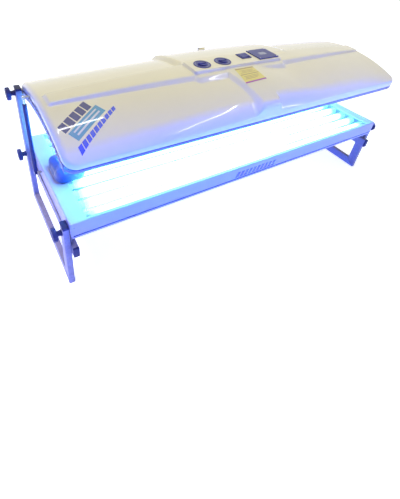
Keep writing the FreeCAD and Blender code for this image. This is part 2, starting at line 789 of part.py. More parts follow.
def surround_screws():
    """Small screws that hold the surround's long faces near the bench's ends."""
    screws = []
    for side, _ in SIDES:
        for way in (-1, 1):
            start = bench_side if way > 0 else -bench_side - size.steel / 2
            screws.append(rod((side * (bench_end - 2 * size.small_screw), start,
                               size.bench_top - size.side_face / 3),
                              size.small_screw / 2, size.steel / 2, Y_AXIS))
    return group(screws, "surround_screws")


def build_bench():
    """Everything between the end frames."""
    bench_surround()
    bench_tray()
    gear_box()
    group([end_panel(side) for side, _ in SIDES], "bench_end_panels")
    group([clamp_bush(side, axis) for side, _ in SIDES for axis in (rear_axis, front_axis)],
          "clamp_bushes")
    bench_acrylic()
    bench_reflector()
    lamp_set("bench", lamp_places(bench_pitch), bench_lamp_axis, tray_bottom + size.steel)
    bench_gear()
    surround_screws()
    mains_gland()


def mains_gland():
    """Gland on the rear of the gear box that the mains lead would enter by."""
    half = box_width / 2
    middle = (box_floor + tray_bottom) / 2
    flange = rod((tray_end - size.ballast_length, half, middle), size.gland_diameter / 2,
                 size.cap_thickness / 2, Y_AXIS)
    nose = rod((tray_end - size.ballast_length, half, middle), size.gland_nose / 2,
               size.gland_length, Y_AXIS)
    fused([flange, nose], "mains_gland")


# ---------------------------------------------------------------- hood shell

def crown_bow(length, drop):
    """Radius of the bow along the hood that drops by a given amount at its ends."""
    return length * length / (8 * drop) + drop / 2


def hood_form(inset, top, drop, length, lip_radius, foot):
    """Closed form of the hood: an arched section swung about a far axis across the hood."""
    half = hood_width.number / 2 - inset
    radius = size.crown_radius.number - inset
    top = top - inset
    lip = lip_radius - inset
    arch_centre = top - radius
    lip_centre_y = half - lip
    lip_centre_z = arch_centre + math.sqrt((radius - lip) ** 2 - lip_centre_y ** 2)
    slope = math.atan2(lip_centre_z - arch_centre, lip_centre_y)
    touch = VECTOR(0, radius * math.cos(slope), arch_centre + radius * math.sin(slope))
    middle_angle = slope / 2
    lip_middle = VECTOR(0, lip_centre_y + lip * math.cos(middle_angle),
                        lip_centre_z + lip * math.sin(middle_angle))
    right = [VECTOR(0, half, foot), VECTOR(0, half, lip_centre_z), lip_middle, touch]
    left = [VECTOR(0, -point.y, point.z) for point in right]
    edges = [
        Part.LineSegment(left[0], right[0]).toShape(),
        Part.LineSegment(right[0], right[1]).toShape(),
        Part.Arc(right[1], right[2], right[3]).toShape(),
        Part.Arc(right[3], VECTOR(0, 0, top), left[3]).toShape(),
        Part.Arc(left[3], left[2], left[1]).toShape(),
        Part.LineSegment(left[1], left[0]).toShape(),
    ]
    section = Part.Face(Part.Wire(edges))
    bow = crown_bow(length, drop) - inset
    half_angle = math.degrees(math.asin((length / 2 + size.end_radius.number) / bow))
    section.rotate(VECTOR(0, 0, top - bow), Y_AXIS, -half_angle)
    form = section.revolve(VECTOR(0, 0, top - bow), Y_AXIS, 2 * half_angle)
    form.translate(VECTOR(0, -size.hood_forward.number, 0))
    return form


def prism(corners, low, high):
    """Upright prism over a plan outline of (x, y) corners."""
    points = [VECTOR(across, along, low) for across, along in corners]
    wire = Part.makePolygon(points + points[:1])
    return Part.Face(wire).extrude(VECTOR(0, 0, high - low))


def mirrored_plan(corners, middle):
    """Plan corners on one side of a line along the hood, closed with their mirror images."""
    upper = [(across, middle + along) for across, along in corners]
    lower = [(across, middle - along) for across, along in reversed(corners)]
    return upper + lower


def spine_plan(inset):
    """The spine from end to end, with the terrace round the control island."""
    end = spine_length.number / 2 - inset
    near, far = -size.island_start.number, size.island_end.number
    narrow = size.spine_end_width.number / 2 - inset
    wide = size.spine_mid_width.number / 2 - inset
    terrace = size.terrace_width.number / 2 - inset
    corners = [(-end, narrow), (near + inset, wide), (near + inset, terrace),
               (far - inset, terrace), (far - inset, wide), (end, narrow)]
    return mirrored_plan(corners, -size.spine_forward.number)


def saddle_plan(inset):
    """The saddle across the hood, wider behind the spine than in front of it."""
    middle = -size.spine_forward.number
    rear, front = hood_rear.number + 1, hood_front.number - 1
    return [(-size.saddle_rear_start.number + inset, rear),
            (-size.saddle_rear_start.number + inset, middle),
            (-size.saddle_front_start.number + inset, middle),
            (-size.saddle_front_start.number + inset, front),
            (size.saddle_front_end.number - inset, front),
            (size.saddle_front_end.number - inset, middle),
            (size.saddle_rear_end.number - inset, middle),
            (size.saddle_rear_end.number - inset, rear)]


def island_plan(inset):
    """The island under the control plate."""
    half = size.spine_mid_width.number / 2 - inset
    corners = [(-size.island_start.number + inset, half), (size.island_end.number - inset, half)]
    return mirrored_plan(corners, -size.spine_forward.number)


def arch_cutter(inset, low):
    """Everything under the hood's lower arch, raised by an inset."""
    radius, top = size.arch_radius.number, arch_top.number + inset
    middle, reach = -size.hood_forward.number, hood_width.number
    half = reach / 2 + size.lip_radius.number
    edge = top - radius + math.sqrt(radius ** 2 - half ** 2)
    corners = [VECTOR(-reach * 2, middle - half, edge), VECTOR(-reach * 2, middle, top),
               VECTOR(-reach * 2, middle + half, edge),
               VECTOR(-reach * 2, middle + half, low), VECTOR(-reach * 2, middle - half, low)]
    edges = [Part.Arc(corners[0], corners[1], corners[2]).toShape()]
    for start, end in ((2, 3), (3, 4), (4, 0)):
        edges.append(Part.LineSegment(corners[start], corners[end]).toShape())
    return Part.Face(Part.Wire(edges)).extrude(VECTOR(reach * 4, 0, 0))


def rounded_ends(form, end, radius, low, high):
    """Square off a form at both ends and round its end edges."""
    reach = hood_width.number
    slab = Part.makeBox(2 * end, 2 * reach, high - low, VECTOR(-end, -reach, low))
    form = form.common(slab)
    edges = [edge for edge in form.Edges
             if abs(abs(edge.CenterOfMass.x) - end) < 0.01
             and edge.BoundBox.XLength < 0.01
             and edge.BoundBox.ZMax > low + 1]
    return form.makeFillet(radius, edges)


def hood_solid(inset):
    """The hood's outer form, inset by a wall, before its lower arch is cut."""
    crown, drop = crown_height.number, size.crown_drop.number
    length, lip = hood_length.number, size.lip_radius.number
    low = arch_top.number - hood_width.number / 3
    base = hood_form(inset, crown, drop, length, lip, low - length / 20)
    end = length / 2 - inset
    base = rounded_ends(base, end, size.end_radius.number - inset, low, crown * 2)
    saddle = hood_form(inset, crown + size.saddle_rise.number, drop, length,
                       size.saddle_lip_radius.number, low)
    saddle = saddle.common(prism(saddle_plan(inset), low, crown * 2))
    spine = hood_form(inset, spine_height.number, size.spine_drop.number,
                      spine_length.number, lip, low)
    spine = spine.common(prism(spine_plan(inset), low, crown * 2))
    island = prism(island_plan(inset), low, island_top.number - inset)
    trimmed = Part.makeBox(2 * end, hood_width.number * 2, crown * 2,
                           VECTOR(-end, -hood_width.number, low))
    return base.fuse([saddle.common(trimmed), spine.common(trimmed), island])


def hood_shell():
    """Moulded shell of even thickness, open below."""
    wall = size.shell_wall.number
    outer = hood_solid(0)
    inner = hood_solid(wall)
    low = arch_top.number - hood_width.number
    shell = outer.cut(inner).cut(arch_cutter(0, low))
    middle = -size.spine_forward.number
    for place_x in (size.timer_near, size.timer_far):
        bore = size.spindle_diameter.number / 2 + size.hole_play.number
        shell = shell.cut(Part.makeCylinder(
            bore, wall * 4, VECTOR(-place_x.number, middle, island_top.number - wall * 2)))
    solids = shell.removeSplitter().Solids
    solids.sort(key=lambda solid: solid.Volume)
    item = doc.addObject("Part::Feature", "HoodShell")
    item.Shape = solids[-1]
    return name_part(item, "hood_shell")


# ---------------------------------------------------------------- hood structure

def arch_band(half, low_drop, high_drop):
    """Outline between two concentric arcs under the hood's lower arch."""
    radius, top = size.arch_radius, arch_top
    outer_radius, inner_radius = radius - high_drop, radius - low_drop
    outer_edge = arch_height(half, outer_radius, top - high_drop)
    inner_edge = arch_height(half, inner_radius, top - low_drop)
    shift = -size.hood_forward
    return [(shift - half, inner_edge), Arc(inner_radius, 1), (shift + half, inner_edge),
            (shift + half, outer_edge), Arc(outer_radius, -1), (shift - half, outer_edge)]


def hood_gasket():
    """Rubber strip that follows the shell's bottom edge all round."""
    body = new_body()
    half = hood_width / 2
    width = size.gasket_width
    pad(body, "YZ_Plane", -hood_end, hood_length, arch_band(half, size.gasket, term(0)))
    inner_x = hood_end - width
    low, high = arch_top - hood_width / 3, arch_top + size.gasket
    pocket(body, "XY_Plane", low, high - low,
           rectangle(-inner_x, hood_front + width, inner_x, hood_rear - width))
    return name_part(body, "hood_gasket")


def socket_spots():
    """Places and heights of the sockets, two beside each lamp."""
    row = size.arch_radius - (size.plate_drop + size.gasket) / 2
    spots = []
    for place_y in lamp_places(hood_pitch, size.lamp_row_forward):
        for offset in (-1, 1):
            across = place_y + offset * size.socket_pitch / 2
            reach = across + size.hood_forward
            height = arch_top - size.arch_radius + root(row * row - reach * reach)
            spots.append((across, height))
    return spots


def end_plate(side):
    """Arched steel plate that carries the sockets at one end of the hood."""
    body = new_body()
    steel = size.steel
    start = hood_end - steel if side > 0 else -hood_end
    half = hood_width / 2 - size.rail_depth
    pad(body, "YZ_Plane", start, steel, arch_band(half, size.plate_drop, size.gasket))
    bores = [(across, height, size.socket_bore / 2) for across, height in socket_spots()]
    pocket(body, "YZ_Plane", start, steel, circles=bores)
    return body


def socket_rings():
    """Plastic rings round the sockets of both end plates."""
    rings = []
    for side, _ in SIDES:
        start = hood_end if side > 0 else -hood_end - size.steel
        for across, height in socket_spots():
            spot = (start, across, height)
            outer = rod(spot, size.socket_diameter / 2, size.steel, X_AXIS)
            bore = rod(spot, size.socket_bore / 2, size.steel, X_AXIS)
            rings.append(cut(outer, [bore]))
    return group(rings, "socket_rings")


def side_rail(label, way):
    """Folded steel rail along one long edge of the hood, chamfered below."""
    body = new_body()
    half, depth, steel = hood_width / 2, size.rail_depth, size.steel
    edge = arch_height(half, size.arch_radius, arch_top) - size.gasket
    inner = half - depth
    foot = edge - size.rail_foot
    top_inner = arch_height(inner, size.arch_radius - size.gasket, arch_top - size.gasket)
    chamfer = size.rail_chamfer
    outline = [(half - steel, edge), (half - steel, foot + chamfer), (half - chamfer, foot),
               (inner, foot), (inner, top_inner)]
    points = [(way * across - size.hood_forward, height) for across, height in outline]
    inner_points = [(half - 2 * steel, edge - 2 * steel), (half - 2 * steel, foot + chamfer + steel),
                    (half - chamfer - steel, foot + steel), (inner + steel, foot + steel),
                    (inner + steel, top_inner - 2 * steel)]
    hollow = [(way * across - size.hood_forward, height) for across, height in inner_points]
    pad(body, "YZ_Plane", -hood_end, hood_length, points)
    pocket(body, "YZ_Plane", -hood_end, hood_length, hollow)
    return name_part(body, label)


def hood_acrylic():
    """Arched acrylic sheet under the hood's lamps."""
    body = new_body()
    half = hood_width / 2 - size.rail_depth - size.frame_gap
    end = hood_end - size.steel - size.frame_gap
    drop = size.hood_acrylic_drop
    pad(body, "YZ_Plane", -end, 2 * end, arch_band(half, drop, drop - size.acrylic))
    return name_part(body, "hood_acrylic")


def hood_reflector():
    """Arched aluminium sheet over the hood's lamps, folded down at its edges and ends."""
    body = new_body()
    half, sheet_t = hood_width / 2 - size.rail_depth, size.reflector
    end = size.lamp_length / 2 - size.holder_grip + size.holder_length
    rise = hood_reflector_rise
    pad(body, "YZ_Plane", -end, 2 * end, arch_band(half, -rise, -rise - sheet_t))
    floor = arch_height(half, size.arch_radius - size.hood_acrylic_drop + size.acrylic,
                        arch_top - size.hood_acrylic_drop + size.acrylic) + size.gasket
    edge = arch_height(half, size.arch_radius + rise + sheet_t / 2, arch_top + rise + sheet_t / 2)
    for way in (-1, 1):
        outer = way * half - size.hood_forward
        pad(body, "YZ_Plane", -end, 2 * end,
            rectangle(outer, floor, outer - way * sheet_t, edge))
    fold = size.hood_acrylic_drop - size.acrylic - size.frame_gap
    for start in (-end - sheet_t, end):
        pad(body, "YZ_Plane", start, sheet_t, arch_band(half, fold, -rise - sheet_t))
    return name_part(body, "hood_reflector")


def hood_gear():
    """Ballasts on the hood's reflector, clear of the island."""
    floor = arch_top + hood_reflector_rise + size.reflector
    count = int(size.ballast_count.number)
    step = (size.lamp_length - size.ballast_length) / count
    ballasts = []
    for index in range(count):
        start = step * (index + 0.5) - size.lamp_length / 2
        if abs(start.number + size.ballast_length.number / 2) < size.island_start.number:
            continue
        ballasts.append(block((start, -size.spine_forward - size.ballast_width / 2, floor),
                              (size.ballast_length, size.ballast_width, size.ballast_width / 2)))
    group(ballasts, "hood_ballasts")


def hinge_bracket(side):
    """Plate with a bush on the hood's end, that the hinge screw turns in."""
    body = new_body()
    depth = bench_end - hood_end - size.frame_gap
    start = hood_end if side > 0 else -bench_end + size.frame_gap
    half = size.bracket_width / 2
    pad(body, "YZ_Plane", start, depth,
        rectangle(rear_axis - half, hinge_height - half,
                  rear_axis + half, hinge_height + half))
    bore = size.stud_diameter / 2 + size.bush_play
    pocket(body, "YZ_Plane", start, depth, circles=[(rear_axis, hinge_height, bore)])
    return body


def saddle_surface(across):
    """Height of the saddle's top in the middle of the hood, at a place across the bed."""
    reach = across + size.hood_forward
    top = crown_height + size.saddle_rise
    return top - size.crown_radius + root(size.crown_radius * size.crown_radius - reach * reach)


def cable_cover():
    """Small cover on the saddle's rear edge, and the cable gland beside it."""
    body = new_body()
    rear = hood_rear - size.cover_inset
    front = rear - size.cover_width
    rise, step = size.cover_height, size.cover_width / 4
    pad(body, "YZ_Plane", term(0), size.cover_length,
        [(front, saddle_surface(front)), (rear, saddle_surface(rear)),
         (rear, saddle_surface(rear) + rise / 2), (rear - step, saddle_surface(rear) + rise),
         (front + step, saddle_surface(front) + rise), (front, saddle_surface(front) + rise / 2)])
    name_part(body, "hood_cable_cover")
    radius = size.spindle_diameter / 2
    middle = (front + rear) / 2
    stub = rod((-size.cap_thickness, middle, saddle_surface(middle) + radius + size.steel / 2),
               radius, size.cap_thickness, X_AXIS)
    return name_part(stub, "hood_cable_gland")


def build_hood():
    """Everything that swings with the hood, without its controls."""
    hood_shell()
    hood_gasket()
    group([end_plate(side) for side, _ in SIDES], "hood_end_plates")
    socket_rings()
    side_rail("hood_front_rail", -1)
    side_rail("hood_rear_rail", 1)
    hood_acrylic()
    hood_reflector()
    lamp_set("hood", lamp_places(hood_pitch, size.lamp_row_forward), hood_lamp_axis)
    hood_gear()
    group([hinge_bracket(side) for side, _ in SIDES], "hinge_brackets")
    cable_cover()


# ---------------------------------------------------------------- knobs

def knob(label, side, axis, height, screw_length):
    """Lobed clamp knob with its neck and screw, turned by hand."""
    body = new_body()
    radius, head, neck = size.knob_diameter / 2, size.knob_head, size.knob_neck
    edge = size.knob_edge
    sketch = sketch_on(body, "XZ_Plane", term(0))
    stud = size.stud_diameter / 2
    neck_radius = size.knob_neck_diameter / 2
    draw(sketch, [(0, -screw_length), (stud, -screw_length), (stud, 0), (neck_radius, 0),
                  (size.knob_waist / 2, neck), (radius - edge, neck), (radius, neck + edge),
                  (radius, neck + head - edge), (radius - edge, neck + head), (0, neck + head)])
    turned = body.newObject("PartDesign::Revolution", "Turned")
    turned.Profile = sketch
    turned.ReferenceAxis = (sketch, ["V_Axis"])
    turned.Angle = 360
    scallop = pocket(body, "XY_Plane", neck, head,
                     circles=[(radius + size.lobe_inset, 0, size.lobe_diameter / 2)])
    pattern = body.newObject("PartDesign::PolarPattern", "Lobes")
    pattern.Originals = [scallop]
    pattern.Axis = (origin_plane(body, "Z_Axis"), [""])
    pattern.Angle = 360
    bind(pattern, "Occurrences", size.lobe_count)
    body.Tip = pattern
    turn = FreeCAD.Rotation(Z_AXIS, X_AXIS * side)
    body.Placement = FreeCAD.Placement(VECTOR(), turn)
    place(body, side * (frame_outer + size.frame_gap), axis, height)
    return name_part(body, label)


def build_knobs():
    """Hinge knobs at the top of the tall posts, clamp knobs at the height of the bench."""
    reach = size.tube_thin + size.frame_gap
    clamp_reach = reach + size.panel_recess + size.frame_gap
    hinge_reach = reach + bench_end - hood_end
    for side, end in SIDES:
        knob(f"{end}_hinge_knob", side, rear_axis, hinge_height, hinge_reach)
        knob(f"{end}_rear_knob", side, rear_axis, clamp_height, clamp_reach)
        knob(f"{end}_front_knob", side, front_axis, clamp_height, clamp_reach)


# ---------------------------------------------------------------- gas struts

def foot_stud(side):
    """Pin on the bench's end panel that the strut's lower eye turns on, with collar and head."""
    pin = size.pin_diameter / 2
    middle = bench_end + size.strut_out
    tip = middle + size.eye_width / 2 + size.frame_gap
    collar = middle - size.eye_width / 2 - size.frame_gap - panel_face
    head = size.pin_head / 2
    spans = ((tray_end, tip - tray_end, pin), (panel_face, collar, head), (tip, size.steel, head))
    bars = []
    for near_end, length, radius in spans:
        start = near_end if side > 0 else -near_end - length
        bars.append(rod((start, size.strut_place, strut_foot_height), radius, length, X_AXIS))
    return fused(bars)


def head_stud(side):
    """Pin on the hood's end that stops just short of the strut's upper eye."""
    end = bench_end + size.strut_out - size.eye_width / 2 - size.hole_play
    start = hood_end if side > 0 else -end
    return rod((start, size.strut_top_place, strut_head_height), size.pin_diameter / 2,
               end - hood_end, X_AXIS)


def strut_frame(side):
    """Lower pin, upper pin and the direction between them, as numbers."""
    out = side * (bench_end + size.strut_out).number
    low = VECTOR(out, size.strut_place.number, strut_foot_height.number)
    high = VECTOR(out, size.strut_top_place.number, strut_head_height.number)
    return low, high, (high - low).normalize()


def tube_along(start, way, outer, inner, low, high):
    """Round tube or bar along a line, between two distances from its start."""
    tube = Part.makeCylinder(outer, high - low, start + way * low, way)
    if inner:
        tube = tube.cut(Part.makeCylinder(inner, high - low, start + way * low, way))
    return tube


def eye(spot, width, radius):
    """Eye at one end of a strut, before it is bored."""
    return Part.makeCylinder(radius, width, spot - X_AXIS * (width / 2), X_AXIS)


def gas_strut(end, side):
    """Cylinder on the lower pin, and rod with the upper eye and its bolt."""
    low, high, way = strut_frame(side)
    outer = size.strut_diameter.number / 2
    bore = outer - size.steel.number / 2
    rod_radius = size.rod_diameter.number / 2
    eye_radius, width = size.eye_diameter.number / 2, size.eye_width.number
    pin_bore = size.pin_diameter.number / 2 + size.bush_play.number
    inside_eye = eye_radius - size.steel.number / 2
    foot = eye_radius + size.shank_length.number
    top = (high - low).Length - size.rod_exposed.number
    cylinder = tube_along(low, way, outer, bore, foot, top).fuse([
        tube_along(low, way, outer, 0, foot, foot + size.plug_length.number),
        tube_along(low, way, outer, rod_radius + size.bush_play.number,
                   top - size.gland_depth.number, top),
        tube_along(low, way, rod_radius, 0, inside_eye, foot + size.plug_length.number / 2),
        eye(low, width, eye_radius)])
    item = doc.addObject("Part::Feature", "StrutCylinder")
    item.Shape = cylinder.removeSplitter().cut(
        Part.makeCylinder(pin_bore, width * 2, low - X_AXIS * width, X_AXIS))
    name_part(item, f"{end}_strut_cylinder")
    piston_low = top - size.piston_place.number
    bolt_start = high + X_AXIS * (side * width / 2)
    bar = tube_along(low, way, rod_radius, 0, piston_low, (high - low).Length - inside_eye).fuse([
        tube_along(low, way, bore - size.hole_play.number, 0, piston_low,
                   piston_low + size.piston_length.number),
        eye(high, width, eye_radius),
        Part.makeCylinder(size.pin_head.number / 2, size.steel.number, bolt_start, X_AXIS * side)])
    item = doc.addObject("Part::Feature", "StrutRod")
    item.Shape = bar.removeSplitter()
    name_part(item, f"{end}_strut_rod")


def build_struts():
    """Gas struts with the studs that they hang between."""
    group([foot_stud(side) for side, _ in SIDES], "strut_foot_studs")
    group([head_stud(side) for side, _ in SIDES], "strut_head_studs")
    for side, end in SIDES:
        gas_strut(end, side)


# ---------------------------------------------------------------- controls

panel_top = island_top + size.panel_plate
panel_middle = -size.spine_forward


def control_plate():
    """Flat plate on the island, pierced for the timers, the switch and the display."""
    body = new_body()
    half = size.spine_mid_width / 2 - size.panel_margin
    near, far = size.panel_margin - size.island_start, size.island_end - size.panel_margin
    plate = size.panel_plate
    pad(body, "XY_Plane", island_top, plate,
        rectangle(near, panel_middle - half, far, panel_middle + half))
    bore = size.spindle_diameter / 2 + size.hole_play
    pocket(body, "XY_Plane", island_top, plate,
           circles=[(-size.timer_near, panel_middle, bore), (-size.timer_far, panel_middle, bore)])
    return name_part(body, "control_plate")


def timer(label, place_x):
    """Timer knob with its grip bar and spindle."""
    face = panel_top + size.timer_plate + size.frame_gap
    skirt = rod((place_x, panel_middle, face), size.timer_knob_diameter / 2,
                size.timer_knob_height)
    grip_length = size.timer_knob_diameter - size.panel_margin
    grip = block((place_x - grip_length / 2, panel_middle - size.timer_grip_width / 2,
                  face + size.timer_knob_height),
                 (grip_length, size.timer_grip_width, size.timer_grip_height))
    depth = size.timer_body_height / 2
    spindle_low = island_top - size.shell_wall - depth
    spindle = rod((place_x, panel_middle, spindle_low), size.spindle_diameter / 2,
                  face - spindle_low)
    return fused([skirt, grip, spindle], label)


def timer_plates():
    """Round dial plates under the timer knobs."""
    plates = []
    for place_x in (-size.timer_near, -size.timer_far):
        disc = rod((place_x, panel_middle, panel_top), size.timer_diameter / 2, size.timer_plate)
        bore = rod((place_x, panel_middle, panel_top),
                   size.spindle_diameter / 2 + size.hole_play, size.timer_plate)
        plates.append(cut(disc, [bore]))
    return group(plates, "timer_dial_plates")


def timer_movements():
    """Clockwork movements under the island."""
    half = size.timer_body / 2
    high = island_top - size.shell_wall
    movements = []
    for place_x in (-size.timer_near, -size.timer_far):
        case = block((place_x - half, panel_middle - half, high - size.timer_body_height),
                     (size.timer_body, size.timer_body, size.timer_body_height))
        bore = rod((place_x, panel_middle, high - size.timer_body_height / 2 - size.steel),
                   size.spindle_diameter / 2 + size.bush_play,
                   size.timer_body_height / 2 + size.steel)
        movements.append(cut(case, [bore]))
    return group(movements, "timer_movements")


def switch():
    """Switch frame on the control plate, and the rocker that tips in it on two pins."""
    half_x, half_y = size.switch_length / 2, size.switch_width / 2
    border, height = size.switch_border, size.switch_frame
    middle_x, middle_y = size.switch_place, panel_middle + size.switch_back
    floor = panel_top + size.steel / 2
    pin_height = floor + size.frame_gap + size.rocker_pin / 2
    frame = block((middle_x - half_x, middle_y - half_y, panel_top),
                  (size.switch_length, size.switch_width, height))
    well = block((middle_x - half_x + border, middle_y - half_y + border, floor),
                 (size.switch_length - 2 * border, size.switch_width - 2 * border, height))
    inner_y = half_y - border - size.frame_gap
    socket_reach = inner_y + size.rocker_pin_length + size.frame_gap
    sockets = rod((middle_x, middle_y - socket_reach, pin_height),
                  size.rocker_pin / 2 + size.bush_play, 2 * socket_reach, Y_AXIS)
    cut(frame, [well, sockets], "switch_frame")
    reach = half_x - border - size.rocker_play
    low, thick, rise = pin_height - size.rocker_pin / 2, size.rocker_thickness, size.rocker_rise
    taper = size.rocker_taper
    body = new_body()
    pad(body, "XZ_Plane", -(middle_y + inner_y), 2 * inner_y,
        [(middle_x - reach, low), (middle_x, low), (middle_x + reach, low + rise),
         (middle_x + reach - taper, low + rise + thick), (middle_x, low + thick),
         (middle_x - reach + taper, low + thick)])
    pin_reach = inner_y + size.rocker_pin_length
    pad(body, "XZ_Plane", -(middle_y + pin_reach), 2 * pin_reach,
        circles=[(middle_x, pin_height, size.rocker_pin / 2)])
    return name_part(body, "switch_rocker")


def display():
    """Display panel with its window and corner screws."""
    half_x, half_y = size.display_length / 2, size.display_width / 2
    middle_y = panel_middle + size.display_back
    panel = block((size.display_place - half_x, middle_y - half_y, panel_top),
                  (size.display_length, size.display_width, size.display_height))
    window_place = (size.display_place - size.window_length / 2, middle_y - size.window_width / 2,
                    panel_top + size.display_height - size.window_thickness)
    window_size = (size.window_length, size.window_width, size.window_thickness)
    cut(panel, [block(window_place, window_size)], "display_panel")
    name_part(block(window_place, window_size), "display_window")
    inset = size.small_screw
    screws = [rod((size.display_place + way_x * (half_x - inset),
                   middle_y + way_y * (half_y - inset), panel_top + size.display_height),
                  size.small_screw / 2, size.steel / 2)
              for way_x in (-1, 1) for way_y in (-1, 1)]
    group(screws, "display_screws")


def build_controls():
    """Everything on and under the control island."""
    control_plate()
    timer_plates()
    timer("near_timer_knob", -size.timer_near)
    timer("far_timer_knob", -size.timer_far)
    timer_movements()
    switch()
    display()


# ---------------------------------------------------------------- pillow

def build_pillow():
    """Saddle-shaped head pillow that lies loose on the near end of the bench."""
    body = new_body()
    half = size.pillow_width / 2
    seat = size.bench_top + size.pillow_rest
    high = seat + size.pillow_height - size.bench_dish
    low = size.bench_top - size.bench_dish + size.pillow_rest + size.steel / 2
    shoulder = half - size.pillow_shoulder
    hollow = (shoulder * shoulder) / (2 * size.pillow_dip) + size.pillow_dip / 2
    start = -bench_end + size.pillow_inset
    pad(body, "YZ_Plane", start, size.pillow_length,
        [(-half, low + size.pillow_edge), (-half + size.pillow_dip, low),
         (half - size.pillow_dip, low), (half, low + size.pillow_edge),
         (half, high - size.pillow_dip / 2), (shoulder, high), Arc(hollow, 1),
         (-shoulder, high), (-half, high - size.pillow_dip / 2)])
    return name_part(body, "head_pillow")


# ---------------------------------------------------------------- build and export

def check_and_export():
    """Stop if anything failed, then write every sub-part to its own file."""
    doc.recompute()
    for item in doc.Objects:
        if "Invalid" in item.State or "Error" in item.State:
            raise RuntimeError(f"{item.Name} ({item.Label}) failed: {item.State}")
    os.makedirs("parts", exist_ok=True)
    for item in SUBPARTS:
        shape = item.Shape
        if shape.isNull() or not shape.isValid() or not shape.Solids:
            raise RuntimeError(f"{item.Label} has no valid solid")
        shape.exportStep(os.path.join("parts", f"{item.Label}.step"))
    print(f"{len(SUBPARTS)} sub-parts written")


build_end_frames()
build_bench()
build_hood()
build_knobs()
build_struts()
build_controls()
build_pillow()
check_and_export()
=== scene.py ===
"""Looks of a clamshell tanning bed: hood, bench, tube frames, lamps, controls and pillow."""

import math

import bmesh
import bpy
import numpy as np
from mathutils import Matrix, Vector


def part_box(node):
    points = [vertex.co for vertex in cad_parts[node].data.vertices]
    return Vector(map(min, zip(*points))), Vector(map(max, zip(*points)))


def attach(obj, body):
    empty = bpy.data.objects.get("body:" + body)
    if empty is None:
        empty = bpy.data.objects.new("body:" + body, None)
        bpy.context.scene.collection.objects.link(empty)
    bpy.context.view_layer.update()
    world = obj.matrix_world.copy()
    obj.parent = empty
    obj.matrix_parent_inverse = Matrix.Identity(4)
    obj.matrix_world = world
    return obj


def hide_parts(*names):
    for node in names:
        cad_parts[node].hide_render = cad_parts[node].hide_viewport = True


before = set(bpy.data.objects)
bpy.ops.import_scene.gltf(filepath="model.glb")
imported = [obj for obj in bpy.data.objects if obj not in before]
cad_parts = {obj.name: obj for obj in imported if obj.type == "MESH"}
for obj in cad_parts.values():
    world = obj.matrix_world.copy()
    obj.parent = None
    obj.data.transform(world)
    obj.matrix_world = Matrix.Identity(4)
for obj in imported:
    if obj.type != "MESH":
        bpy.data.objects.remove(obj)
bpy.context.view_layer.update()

bl_info = {
    "name": "Clamshell Tanning Bed",
    "version": (1, 0, 0),
    "blender": (4, 5, 0),
    "location": "View3D > Sidebar > Tanning Bed",
    "description": "Builds the looks of a clamshell tanning bed round its CAD frame",
    "category": "Object",
}

MM = 0.001
ENDS = ("near", "far")


# ---------------------------------------------------------------- sizes and colours

def length(name, default, description):
    """A length a user may change, in metres."""
    return bpy.props.FloatProperty(name=name, description=description, default=default,
                                   min=0.0, unit="LENGTH", subtype="DISTANCE", precision=5)


def colour(name, default, description):
    """A colour a user may change."""
    return bpy.props.FloatVectorProperty(name=name, description=description, default=default,
                                         size=3, min=0.0, max=1.0, subtype="COLOR")


def amount(name, default, description, high=10.0):
    """A plain number a user may change."""
    return bpy.props.FloatProperty(name=name, description=description, default=default,
                                   min=0.0, max=high)


class BedSizes(bpy.types.PropertyGroup):
    """Sizes of the details that the frame leaves plain."""

    front_fold: length("Front fold", 0.013, "Crisp fold along the hood's front edge")
    block_lip: length("Saddle block lip", 0.038, "Rounding where the saddle meets the front edge")
    lip_radius: length("Rear lip", 0.042, "Rounding along the hood's rear edge")
    saddle_lip_radius: length("Rear saddle lip", 0.014,
                              "Rounding where the saddle crosses the rear edge")
    end_radius: length("Hood ends", 0.026, "Rounding along the hood's ends")
    hood_corner: length("Hood corners", 0.046, "Rounding of the hood's corners seen from above")
    saddle_rise: length("Saddle rise", 0.020, "Height of the saddle above the shell")
    shell_wall: length("Shell wall", 0.003, "Thickness of the moulded shell")
    rim_radius: length("Bench rim", 0.005, "Rounding of the bench's outer edges")
    rim_corner: length("Bench corners", 0.009, "Rounding of the bench's corners seen from above")
    tube_radius: length("Tube corners", 0.0035, "Rounding of the frame tube's corners")
    bead: length("Weld bead", 0.0022, "Half width of the weld beads")
    knob_scallop: length("Knob scallop", 0.0018, "Depth of the scallops between a knob's lobes")
    pillow_swell: length("Pillow swell", 0.007, "How far the stuffing may push the pillow's cover")


class BedColours(bpy.types.PropertyGroup):
    """Colours of the finishes."""

    ivory: colour("Hood ivory", (0.92, 0.86, 0.60), "Glossy moulded hood")
    taupe: colour("Frame taupe", (0.28, 0.25, 0.235), "Powder coat of the end frames")
    bench: colour("Bench grey", (0.50, 0.45, 0.42), "Powder coat of the bench's faces and rim")
    plate_grey: colour("End plate grey", (0.20, 0.18, 0.17), "Powder coat of the hood's end plates")
    rail_grey: colour("Rail grey", (0.22, 0.21, 0.21), "Powder coat of the hood's side rails")
    black: colour("Black plastic", (0.024, 0.027, 0.078), "Knobs, caps and seals")
    navy: colour("Control navy", (0.028, 0.034, 0.23), "Dials, switch and display panel")
    pillow: colour("Pillow navy", (0.010, 0.075, 0.24), "Vinyl cover of the pillow")
    lamp: colour("Lamp glow", (0.10, 0.40, 1.0), "Light of the lamps")
    spill: colour("Lamp spill", (0.015, 0.09, 1.0),
                  "Lamp light that the floor and the room throw back")
    wash: colour("Frame wash", (0.58, 0.53, 1.0), "Light that falls on the near frame from above")
    air: colour("Room air", (0.10, 0.20, 1.0), "Lamp light that comes back from all round")
    key: colour("Overhead warmth", (1.0, 0.96, 0.74), "Colour of the soft light overhead")
    floor: colour("Floor", (0.86, 0.86, 0.86), "Studio floor")


